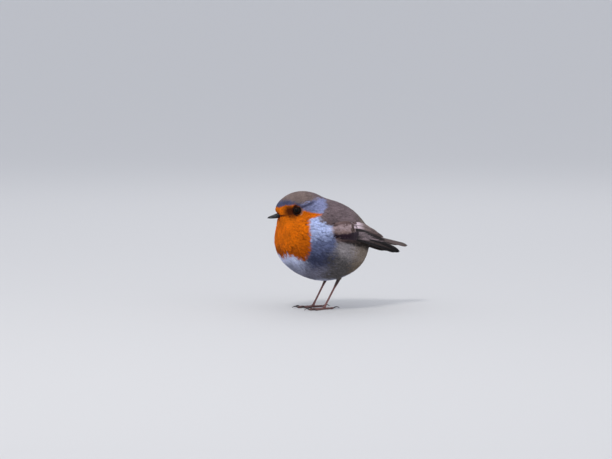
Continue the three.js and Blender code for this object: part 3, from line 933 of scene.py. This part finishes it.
def feather_piece(name, feathers, slot, replaced):
    """Joins long feathers into one piece, each with its own cell in the bake map."""
    columns = math.ceil(math.sqrt(len(feathers)))
    shells, colours, vane_maps, own_cells = zip(*feathers)
    cells = [
        (cell * [0.46, 0.94] + [0.5, 0.03] + [k % columns, k // columns]) / columns
        for k, cell in enumerate(own_cells)
    ]
    maps = {"Vane": np.concatenate(vane_maps), "OFBake": np.concatenate(cells)}
    piece = make_mesh(name, *join(shells), slot, stiff_feather, np.concatenate(colours), maps)
    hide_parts(*replaced)


# %% [markdown]
# ## Wing feathers
# From below upwards: the long primaries that make the point, the secondaries with their
# pale edges, three broad tertials on top, then rows of coverts, each row shorter and
# nearer the bend of the wing, and the small dark thumb feathers along the lower edge.

# %% Rows of like feathers
# Flat places on the wing are y and height. From the lowest primary to the highest:
PRIMARY_TIPS = [
    (45.0, 41.4), (48.3, 41.2), (49.0, 41.8), (47.2, 42.9), (43.8, 44.4), (40.4, 46.0), (37.2, 47.6),
]
# tip, root, half-width
TERTIALS = [
    ((33.2, 53.8), (-5, 64.2), 1.6),
    ((28.2, 56.9), (-6, 65.2), 1.9),
    ((21.0, 60.2), (-7, 65.8), 2.2),
]
THUMB = [
    ((-6.5, 57.0), (-19.5, 58.8), 1.15),
    ((-9.5, 57.9), (-20, 59.5), 1.0),
    ((-13.0, 58.8), (-20.5, 60.2), 0.9),
]


def between(a, b, t):
    return a + (b - a) * t


def row(place_on, count, roots, tips, wide, height, step, tint, ragged=0.0, **shape):
    """Like feathers; roots and tips are given for the lowest and for the highest of them."""
    made = []
    for k in range(count):
        root, tip = (between(*np.array(ends, float), k / (count - 1)) for ends in (roots, tips))
        if ragged:
            tip[0] += rng.normal(0, ragged)
        made.append(laid_feather(place_on, root, tip, wide, height + step * k, tint, **shape))
    return made


def flight_row(lay):
    """Seven primaries, then seven secondaries with pale edges."""
    made = []
    for k, tip in enumerate(PRIMARY_TIPS):
        t = k / (len(PRIMARY_TIPS) - 1)
        edge = between(REMEX_DARK, COVERT, 0.12 + 0.3 * t)
        tint = (between(REMEX_DARK, REMEX, 0.3 * t), edge, REMEX_DARK)
        root, height = (-6, between(56.8, 58.8, t)), -0.95 + 0.1 * k
        made.append(laid_feather(lay, root, tip, (1.35, 2.2), height, tint, 0.012, tip_start=0.84))
    tint = (between(REMEX_DARK, REMEX, 0.7), between(COVERT, FRINGE, 0.42), REMEX)
    return made + row(
        lay, 7, [(-5, 57.0), (-5, 62.2)], [(34.5, 51.6), (13.0, 60.2)], (1.9, 1.9), -0.25, 0.11, tint,
        bend=0.012, tip_start=0.8, tip_power=2.4,
    )


def tertial_row(lay):
    made = []
    for k, (tip, root, wide) in enumerate(TERTIALS):
        vane, edge = between(COVERT, REMEX, 0.75 - 0.25 * k), between(REMEX, COVERT, 0.2 + 0.4 * k)
        tint = (vane, edge, between(COVERT, REMEX, 0.3))
        # Each tertial gets more painted highlight than the one below, the top one most.
        made.append(laid_feather(
            lay, root, tip, (wide, wide + 0.3), 0.6 + 0.22 * k, tint,
            bend=0.045, shed=0.9, tip_start=0.66, painted_highlight=0.05 + 0.45 * k,
        ))
    return made


def covert_rows(lay):
    """Primary coverts, greater coverts, median coverts and the thumb feathers."""
    tint = (ALULA, between(ALULA, COVERT, 0.15), 0.6 * ALULA)
    made = row(
        lay, 5, [(-16, 57.0), (-16, 59.4)], [(1.0, 55.0), (3.6, 59.6)], (1.15, 1.3), 0.0, 0.1, tint,
        tip_start=0.7,
    )
    edge, end = between(COVERT, FRINGE, 0.08), between(COVERT, FRINGE, 0.25)
    made += row(
        lay, 7, [(-14, 59.8), (-14, 65.4)], [(2.0, 59.0), (-1.8, 65.6)], (1.5, 1.5), 0.1, 0.13,
        (between(COVERT, REMEX, 0.4), edge, end), ragged=0.7, tip_start=0.66, tip_power=2,
    )
    end = between(COVERT, FRINGE, 0.2)
    made += row(
        lay, 6, [(-17, 61.0), (-17, 65.8)], [(-5.2, 60.2), (-7.4, 65.8)], (1.4, 1.4), 0.35, 0.06,
        (between(COVERT, SCAPULAR, 0.3), edge, end), ragged=0.6, tip_start=0.55, tip_power=2,
    )
    tint = (ALULA, between(ALULA, FRINGE, 0.3), ALULA)
    for k, (tip, root, wide) in enumerate(THUMB):
        wides = (wide, wide * 1.1)
        made.append(laid_feather(lay, root, tip, wides, 0.45 + 0.14 * k, tint, tip_start=0.6))
    return made


# %% Lay each wing
for name, side in SIDES.items():

    def lay(y, z, height):
        return np.stack([side * (wing_out(y, z) + height), y, z], -1)

    primaries, tertials, coverts = flight_row(lay), tertial_row(lay), covert_rows(lay)
    feather_piece(f"{name}_flight_feathers", primaries, "flight_feathers", [f"{name}_wing_primaries"])
    feather_piece(f"{name}_tertial_feathers", tertials, "wing_plumage", [f"{name}_wing_tertials"])
    feather_piece(f"{name}_covert_feathers", coverts, "wing_plumage", [f"{name}_wing_coverts"])
    print(name, "wing:", len(primaries) + len(tertials) + len(coverts), "feathers")

# %% [markdown]
# ## Tail
# Twelve feathers, closed like a fan. The middle pair lies on top and each next one slips
# under its neighbour. They are drawn flat in the plane of the tail.

# %% Draw and lay the tail
TAIL_ROOT = np.array([0.0, 4.7, 60.3])
TAIL_TIP = np.array([0.0, 57.9, 46.5])
TAIL_RUN = unit(TAIL_TIP - TAIL_ROOT)
TAIL_LIFT = np.cross([1.0, 0, 0], TAIL_RUN)
TAIL_LENGTH = float(np.linalg.norm(TAIL_TIP - TAIL_ROOT))


def lay_on_tail(along, across, height):
    arch = 0.35 - 2.4 * (across / 8.8) ** 2
    return (
        TAIL_ROOT
        + TAIL_RUN * along[..., None]
        + np.array([1.0, 0, 0]) * across[..., None]
        + TAIL_LIFT * (height + arch)[..., None]
    )


tail = []
for pair in range(5, -1, -1):
    for side in SIDES.values():
        spread = between(0.9, 6.3, (pair / 5) ** 0.9)
        reach = TAIL_LENGTH - 1.9 + 1.6 * math.sin(pair / 5 * 2.4) - 0.9 * (pair == 5)
        vane = between(TAIL_BROWN, REMEX, 0.1 + 0.12 * pair)
        tint = (vane, between(TAIL_BROWN, FRINGE, 0.05), TAIL_BROWN)
        wide = (2.7, 2.1) if side > 0 else (2.1, 2.7)
        height = 0.25 - 0.16 * pair + 0.06 * side
        root, tip = (8, side * spread * 0.45), (reach, side * spread)
        tail.append(laid_feather(
            lay_on_tail, root, tip, wide, height, tint, shed=0.2, tip_start=0.86, tip_power=2,
        ))
feather_piece("tail_feathers", tail, "flight_feathers", ["tail"])
print("tail feathers:", len(tail))

# %% [markdown]
# ## Which way the coat lies
# Body feathers stream from the bill to the tail like water round a stone. That is the
# pattern between a spring and a drain, and two terms give it. Round the eyes they part, and
# on the legs they point down.

# %% The lie of the coat
TAIL_BASE = np.array([0.0, 32.0, 54.0])


def lie(points, out):
    """The direction of the feathers at each point, along the surface."""
    from_bill, to_tail = points - BILL_BASE, TAIL_BASE - points
    run = from_bill / (np.linalg.norm(from_bill, axis=-1, keepdims=True) ** 2 + 20)
    run = run + to_tail / (np.linalg.norm(to_tail, axis=-1, keepdims=True) ** 2 + 20)
    run = unit(run) + np.array([0, 0, -0.12])
    for name, side in SIDES.items():
        to_ankle = unit(on_side(ANKLE - SHANK_TOP, side))
        near_leg = smooth(1.5, -0.5, shank_form(points, side)) * smooth(30, 26, points[..., 2])
        run = mixed(run, to_ankle, near_leg)
        from_eye = points - EYE_CENTRES[name]
        distance = np.linalg.norm(from_eye, axis=-1, keepdims=True)
        towards = unit(from_eye)
        inward = np.minimum((unit(run) * towards).sum(-1, keepdims=True), 0)
        press = smooth(8.0, 3.5, distance) * inward
        run = run - 1.3 * press * towards
    run = run - (run * out).sum(-1, keepdims=True) * out
    return unit(run)


print("on the crown the coat runs", lie(crown_top, np.array([[0, 0, 1.0]]))[0].round(2))

# %% [markdown]
# ## Body and wing as one outline
# Where body feathers reach the folded wing they ride up over its front and upper edge, as
# the shoulder feathers of a real bird do. So the feathers follow a second outline, in which
# the covert part of each wing is melted into the body.

# %% The outline with the wing coverts in it
def wing_slab(points):
    """Distance outside the part of a wing that body feathers may cover."""
    out, y, z = np.abs(points[..., 0]), points[..., 1], points[..., 2]
    low, high = wing_edges(y)
    ramp = 3.6 * smooth(-20.5, -27.5, y)  # the front edge rises gently out of the breast
    over_sheet = 0.95 * (out - wing_out(y, z) - 0.6 + ramp)
    walls = [over_sheet, -over_sheet - 2.6, low + 0.4 - z, z - high, -28 - y, y - 0.5]
    return np.maximum.reduce(walls)


def draped(points):
    """The join is soft in front and above, and crisp along the wing's lower edge."""
    y, z = points[..., 1], points[..., 2]
    crisp = smooth(3.5, 1.0, z - wing_edges(y)[0]) * smooth(-21.5, -18, y)
    return melt([plumage(points), wing_slab(points)], 2.4 - 1.8 * crisp)


def under_wing(points):
    """True where a folded wing hides the body."""
    x, y, z = points.T
    low, high = wing_edges(y)
    return (y > -19) & (y < 24) & (z > low + 3) & (z < high - 2.5) & (np.abs(x) > 13)


shoulder = np.array([[27.0, -24.0, 64.0]])
before, after = float(plumage(shoulder)[0]), float(draped(shoulder)[0])
print("at the bend of the wing the outline moves out by", round(before - after, 1), "mm")

# %% [markdown]
# ## Where each feather grows
# Feathers stand in an even but never regular pattern, close on the face and wide apart on
# the belly. Points are thrown at random on the skin and each one is kept if no earlier one
# stands too near. None grows in the eye, under the bill's root or behind a folded wing.

# %% Spacing and roots
def spacing(points):
    away = np.linalg.norm(points - BILL_BASE, axis=-1)
    gap = 0.5 + 0.58 * smooth(5, 36, away)
    for name, side in SIDES.items():
        eye_distance = np.linalg.norm(points - EYE_CENTRES[name], axis=-1)
        gap = np.minimum(gap, 0.42 + 0.8 * smooth(3.3, 16, eye_distance))
        ankle_distance = np.linalg.norm(points - on_side(ANKLE, side), axis=-1)
        gap = np.minimum(gap, 0.7 + 0.5 * smooth(4, 12, ankle_distance))
    return gap


NEIGHBOURS = list(itertools.product((-1, 0, 1), repeat=3))
BANDS = (0.0, 0.6, 0.8, 1.0, 9.0)


def scatter(places, gaps):
    """The numbers of the places that keep their distance, band of gaps by band of gaps."""
    kept = []
    for low, high in itertools.pairwise(BANDS):
        band = np.flatnonzero((gaps >= low) & (gaps < high))
        size = min(high, float(gaps[band].max(initial=1.0)))
        homes = (places[band] // size).astype(int).tolist()
        boxes = {}
        for index, (i, j, k), place in zip(band.tolist(), homes, places[band].tolist()):
            free = all(
                math.dist(place, other) > gaps[index]
                for di, dj, dk in NEIGHBOURS
                for other in boxes.get((i + di, j + dj, k + dk), ())
            )
            if free:
                kept.append(index)
                boxes.setdefault((i, j, k), []).append(place)
    return np.array(kept)


print("feathers on the crown stand", round(float(spacing(crown_top)[0]), 2), "mm apart")

# %% Throw and keep
CANDIDATES = 190000
corners = skin_points[skin_faces]
edges = corners[:, 1:] - corners[:, :1]
areas = 0.5 * np.linalg.norm(np.cross(edges[:, 0], edges[:, 1]), axis=1)
weights = areas / spacing(corners.mean(axis=1)) ** 2
chosen = rng.choice(len(areas), CANDIDATES, p=weights / weights.sum())
mixing = rng.dirichlet([1, 1, 1], CANDIDATES)
thrown = (corners[chosen] * mixing[..., None]).sum(axis=1)
roots = thrown[scatter(thrown, spacing(thrown))]
clear = ~under_wing(roots)
for centre in EYE_CENTRES.values():
    clear &= np.linalg.norm(roots - centre, axis=1) > EYE_RADIUS + 0.25
behind_tip = (BILL_TIP - roots) @ FORWARD
off_axis = roots - (BILL_TIP - behind_tip[:, None] * BILL_FORWARD)
in_bill = np.hypot(off_axis @ HEAD_LEFT / 2.2, off_axis @ BILL_UP / 2.3) < 1.0
clear &= ~(in_bill & (behind_tip < 16))
roots, behind_tip = roots[clear], behind_tip[clear]
print("feathers in the coat:", len(roots))

# %% [markdown]
# ## One body feather
# A body feather is a shaft with soft barbs. Near the shaft the barbs hook together into a
# vane, and at the edge they hang free, which is what makes a small bird look soft. Each barb
# is a narrow strip that tapers to a point, and a thin web lies under them. The shaft walks
# along the outline in small steps, so that no feather stands off where the body curves.

# %% The pattern of barbs, and the shaft's walk
STATIONS = np.linspace(0, 1.25, 9)
# the dots of a barb: how far out along it, and to which side of its middle
BARB = [(0.0, -0.55), (0.0, 0.55), (0.55, -0.36), (0.55, 0.36), (1.0, 0.0)]
# the rows of the web: how far along the feather, and half-width
WEB = [(0.05, 0.3), (0.45, 0.9), (0.9, 0.7)]
WEB_DOTS = 3 * len(WEB)


def feather_pattern(per_side):
    """The dots of all barbs, then those of the web, and the faces over both."""
    starts = np.linspace(0.1, 0.94, per_side)
    barbs = [(sign, start, *dot) for sign in (-1, 1) for start in starts for dot in BARB]
    web = [(along, across) for along, half in WEB for across in (-half, 0, half)]
    strips = np.arange(0, len(barbs), len(BARB))[:, None]
    faces = [strips + [0, 1, 3], strips + [0, 3, 2], strips + [2, 3, 4]]
    for a in (0, 1, 3, 4):
        faces.append(np.array([[a, a + 1, a + 4], [a, a + 4, a + 3]]) + len(barbs))
    return np.array(barbs), np.array(web), np.concatenate(faces)


def walk(place, heading, lengths, heights, surface):
    """The shaft's places, ups and sides at each station."""
    places, ups, sides = [], [], []
    gone = 0.0
    for station, height in zip(STATIONS, heights.T):
        place = place + heading * ((station - gone) * lengths)[:, None]
        for most in (1.5, 0.8):
            up, here = outward(place, surface)
            place = place + np.clip(height - here, -most, most)[:, None] * up
        heading = unit(heading - (heading * up).sum(-1, keepdims=True) * up)
        places.append(place)
        ups.append(up)
        sides.append(np.cross(up, heading))
        gone = station
    return np.stack(places, 1), np.stack(ups, 1), np.stack(sides, 1)


print("a feather of 14 barbs a side has", len(feather_pattern(14)[2]), "triangles")

# %% Many feathers at once
def per_barb(count, per_side, middle, spread):
    """One random number for each barb, repeated for its dots."""
    drawn = rng.normal(middle, spread, (count, 2 * per_side))
    return np.repeat(drawn, len(BARB), axis=1)


def with_web(values, web_value):
    """Adds the web's values after those of the barbs."""
    web_values = np.broadcast_to(web_value, (len(values), WEB_DOTS))
    return np.concatenate([values, web_values], 1)


def grow(roots, lengths, widths, depths, per_side, loose, surface, lie_of):
    """All dots of many feathers, one feather's faces, and each dot's share along and across."""
    barbs, web, faces = feather_pattern(per_side)
    sign, start, station, half = barbs.T
    count = len(roots)
    up, _ = outward(roots, surface)
    run = lie_of(roots, up)
    spin = rng.normal(0, 0.05 + 0.06 * loose, count)[:, None]
    run = unit(run * np.cos(spin) + np.cross(up, run) * np.sin(spin))
    lift = rng.normal(0, 0.06 * loose, count)[:, None]
    sinking = -depths[:, None] * (1 - np.clip(STATIONS, 0, 1)) ** 1.5 - 0.12 + lift
    sinking = sinking - 0.24 * np.clip((STATIONS - 0.8) / 0.45, 0, 1) ** 1.5  # tips curl in
    places, ups, sides = walk(roots, run, lengths, sinking, surface)

    longer = per_barb(count, per_side, 0, 0.2 * loose)
    wider = per_barb(count, per_side, 0, 0.10 * loose)
    higher = per_barb(count, per_side, 0, 0.06 * loose)
    shape = (start**0.4) * np.sqrt(np.clip(1 - (start * 0.985) ** 5, 0, 1))
    reach = 0.34 + 0.2 * (1 - shape)
    gap = 0.84 / (per_side - 1)
    foot = half * gap * np.where(station == 0, 1.25, 1.0)
    s = start + reach * 0.6 * station**1.15 * (1 + longer * station) + foot
    t = sign * shape * station**0.85 * (1 + wider)
    rise = -0.12 * loose * t**2 + higher * station + 0.05 * half * (station > 0)
    s, t = with_web(np.clip(s, 0, 1.24), web[:, 0]), with_web(t, web[:, 1])
    rise = with_web(rise, -0.08)

    at = s / STATIONS[-1] * (len(STATIONS) - 1)
    low = np.minimum(at.astype(int), len(STATIONS) - 2)
    share, each = (at - low)[..., None], np.arange(count)[:, None]

    def blend(values):
        return values[each, low] * (1 - share) + values[each, low + 1] * share

    shaft, up, side = blend(places), blend(ups), blend(sides)
    wanted = blend(sinking[..., None])[..., 0] + rise
    dots = shaft + side * (t * widths[:, None])[..., None]
    for _ in range(3):
        dots = dots + np.clip(wanted - surface(dots), -1.0, 1.0)[..., None] * up
    astray = np.abs(wanted - surface(dots)) > 0.4
    return np.where(astray[..., None], shaft, dots), faces, s, t


def unwrap(points):
    """A flat place for each point of the skin: the ball it was blown up from, cut behind."""
    ray = unit(points - BODY_CENTRE)
    turn = np.arctan2(ray[..., 0], -ray[..., 1])
    rise = np.arcsin(np.clip(ray[..., 2], -1, 1))
    return np.stack([turn / (2 * math.pi) + 0.5, rise / math.pi + 0.5], -1)


def mottle(points):
    """A slow, uneven change of tone, from a few crossed waves."""
    x, y, z = points.T
    waves = np.sin(0.62 * y + 0.35 * z + 0.3 * x) + np.sin(0.41 * z - 0.5 * x + 1.7)
    waves = waves + np.sin(0.27 * y - 0.66 * z + 0.9)
    return 1 + 0.06 * waves + 0.06 * np.sin(1.5 * y + 1.1 * z) * np.sin(1.2 * x - 1.7 * z)


def plume_colours(start, dots, s, per_side, paint):
    """Half of a feather's colour is its tip's, and half is that of the place of each dot."""
    count = len(start)
    wander = rng.normal(0, 0.8, count)[:, None]
    hair = with_web(per_barb(count, per_side, 0, 0.5), 0.0)
    tips = dots[:, -2]
    colours = 0.5 * paint(tips, wander[:, 0])[:, None] + 0.5 * paint(dots, wander + hair)
    tone = rng.normal(1.0, 0.05, (count, 1, 1)) * mottle(start)[:, None, None]
    streak = with_web(per_barb(count, per_side, 1.0, 0.09), 0.85)[..., None]
    dark_base = (1 - 0.15 * smooth(0.6, 0.2, s))[..., None]
    return np.clip(colours * tone * streak * dark_base, 0.001, 1)


def coat(
    name, start, per_side, slot, reach, width, loose,
    surface=draped, lie_of=lie, paint=markings_and_shade, depths=None,
):
    """One piece of the coat, from the roots where its feathers start."""
    gap = spacing(start)
    lengths = reach * gap * rng.uniform(0.88, 1.12, len(start))
    widths = width * gap * rng.uniform(0.9, 1.1, len(start))
    depths = coat_depth(start) if depths is None else depths
    dots, faces, s, t = grow(start, lengths, widths, depths, per_side, loose, surface, lie_of)
    colours = plume_colours(start, dots, s, per_side, paint).reshape(-1, 3)
    first_dots = np.arange(len(start)) * dots.shape[1]
    all_faces = (faces[None] + first_dots[:, None, None]).reshape(-1, 3)
    spread = np.stack([np.clip(t, -1.3, 1.3) * 0.0011, (s - 0.5) * 0.0024], -1)
    maps = {"OFBake": (unwrap(start)[:, None] + spread).reshape(-1, 2)}
    make_mesh(name, dots.reshape(-1, 3), all_faces, slot, soft_feather, colours, maps)
    print(name, len(start), "feathers", len(all_faces), "triangles")


# %% [markdown]
# ## The coat, tract by tract
# Feathers grow in tracts with their own size and softness: dense and tight on the face,
# longer and looser down the breast and belly. Each tract is a piece of its own.

# %% Grow the coat
x, y, z = roots.T
on_face = (behind_tip < 27) & (z > 66)
on_head_rest = ~on_face & (z > 67) & (y < -14)
on_leg = (z < 27) & ((shank_form(roots, 1) < 0.3) | (shank_form(roots, -1) < 0.3))
rest = ~(on_face | on_head_rest | on_leg)
breast, behind_breast = rest & (y < -32), rest & (y >= -32)
low = behind_breast & (z <= 57)
tracts = {
    "left_breast": breast & (x > 6),
    "right_breast": breast & (x < -6),
    "breast": breast & (np.abs(x) <= 6),
    "back": behind_breast & (z > 57),
    "left_flank": low & (x > 8),
    "right_flank": low & (x < -8),
    "belly": low & (np.abs(x) <= 8),
}
coat("coat_face", roots[on_face], 7, "head_plumage", 4.6, 1.2, 0.5)
coat("coat_head_and_throat", roots[on_head_rest], 11, "head_plumage", 5.4, 1.25, 0.7)
for tract, here in tracts.items():
    loose = 0.8 if tract == "back" else 1.2
    coat("coat_" + tract, roots[here], 14, "body_plumage", 6.2, 1.25, loose)
coat("coat_legs", roots[on_leg], 6, "leg_plumage", 3.0, 1.1, 0.6)

# %% [markdown]
# ## Soft coverts of the wing
# The bend of the wing is covered by small soft feathers like those of the body, row on row
# down to the first stiff coverts. They are grown in the same way, but along the wing.

# %% Grow the lesser coverts
def wing_paint(points, wander):
    y, z = points[..., 1], points[..., 2]
    warm = mixed(COVERT, between(COVERT, FRINGE, 0.25), smooth(60, 64, z + wander))
    made = mixed(warm, ALULA, smooth(60.6, 59.2, z + 0.4 * wander))
    made = mixed(made, SCAPULAR, smooth(65.4, 66.6, z + 0.6 * wander))
    return mixed(made, markings_and_shade(points, wander), smooth(-20.5, -24, y + wander))


def along_wing(points, up):
    run = np.array([0, 1.0, -0.1]) * np.ones_like(points)
    return unit(run - (run * up).sum(-1, keepdims=True) * up)


THROWN = 8000
y, z = rng.uniform(-27, -8.5, THROWN), rng.uniform(57, 69, THROWN)
low, high = wing_edges(y)
low = np.minimum(low + 1.0, np.interp(y, [-27, -22, -17], [61, 57.4, 60]))  # round the bend
rear_edge = -9 - 3.5 * rng.uniform(0, 1, THROWN) ** 2 - 0.2 * (high - z)
inside = (z > low) & (z < high) & (y <= rear_edge)
y, z = y[inside], z[inside]
sheet = np.stack([wing_out(y, z) + 0.1, y, z], -1)
sheet = sheet[scatter(sheet, np.full(len(sheet), 1.0))]
for name, side in SIDES.items():
    coat(
        f"{name}_lesser_coverts", on_side(sheet, side), 11, "wing_plumage", 4.4, 1.25, 0.6,
        lie_of=along_wing, paint=wing_paint, depths=np.full(len(sheet), 0.7),
    )

# %% [markdown]
# ## Floor, light and camera
# A pale floor and soft lamps show the form without hard shadows. The camera stands well off
# with a long lens, as one does for a small bird, so nothing is stretched.

# %% Stage
floor_mesh = bpy.data.meshes.new("floor")
floor_mesh.from_pydata([(-60, -60, 0), (60, -60, 0), (60, 60, 0), (-60, 60, 0)], [], [(0, 1, 2, 3)])
floor = bpy.data.objects.new("floor", floor_mesh)
bpy.context.scene.collection.objects.link(floor)
paper, _, paper_shader = finish("floor_paper", 0.9)
paper_shader.inputs["Base Color"].default_value = (0.62, 0.61, 0.60, 1)
floor_mesh.materials.append(paper)
floor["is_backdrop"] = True

world = bpy.data.worlds.new("studio")
world.use_nodes = True
sky = world.node_tree.nodes["Background"]
sky.inputs["Color"].default_value = (0.86, 0.9, 1.0, 1)
sky.inputs["Strength"].default_value = 0.9
bpy.context.scene.world = world
bpy.context.scene.view_settings.view_transform = "Standard"

AZIMUTH, ELEVATION = math.radians(62), math.radians(5)
TO_CAMERA = np.array([
    math.sin(AZIMUTH) * math.cos(ELEVATION),
    -math.cos(AZIMUTH) * math.cos(ELEVATION),
    math.sin(ELEVATION),
])
PICTURE_RIGHT = np.array([math.cos(AZIMUTH), math.sin(AZIMUTH), 0.0])
PICTURE_UP = np.cross(TO_CAMERA, PICTURE_RIGHT)


def lamp(name, place, size, power, tint):
    data = bpy.data.lights.new(name, "AREA")
    data.size, data.energy, data.color = size, power, tint
    made = bpy.data.objects.new(name, data)
    bpy.context.scene.collection.objects.link(made)
    made.location = place
    made.rotation_mode = "QUATERNION"
    made.rotation_quaternion = (Vector(place) - Vector((0, 0, 0.05))).to_track_quat("Z", "Y")


lamp("key", (0.45, -0.7, 1.3), 0.36, 7.0, (1.0, 0.98, 0.95))
lamp("fill", (1.3, 0.5, 0.6), 1.0, 1.5, (0.92, 0.95, 1.0))
lamp("rim", (-0.9, 0.5, 0.9), 0.8, 1.5, (1.0, 1.0, 1.0))

camera_data = bpy.data.cameras.new("camera")
camera_data.lens, camera_data.sensor_width = 200.0, 36.0
MM_PER_PIXEL, PICTURE_WIDTH = 0.77, 612
span = MM_PER_PIXEL * PICTURE_WIDTH  # what the picture spans at the bird
distance = span * camera_data.lens / camera_data.sensor_width
aim = -13.1 * PICTURE_RIGHT + 60.6 * PICTURE_UP - np.array([0, 14.3, 0])
camera = bpy.data.objects.new("camera", camera_data)
bpy.context.scene.collection.objects.link(camera)
camera.location = (aim + TO_CAMERA * distance) * MM
camera.rotation_mode = "QUATERNION"
camera.rotation_quaternion = Vector(TO_CAMERA).to_track_quat("Z", "Y")
camera_data.clip_start, camera_data.clip_end = 0.05, 40.0
bpy.context.scene.camera = camera
print("camera stands", round(distance / 1000, 2), "m off")

# %% [markdown]
# ## Sizes, and done
# The box round the solids and the box round all that is drawn are put side by side; a soft
# coat may stand proud of the solids. The feathers must stay within the solids, give or
# take what a soft coat may stand proud.

# %% Put the sizes side by side and finish
seen_low, seen_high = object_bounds()
sizes = {"cad": [list(cad_low), list(cad_high)], "visual": [list(seen_low), list(seen_high)]}
print("model spans", [round(1000 * (h - l), 1) for l, h in zip(seen_low, seen_high)], "mm")
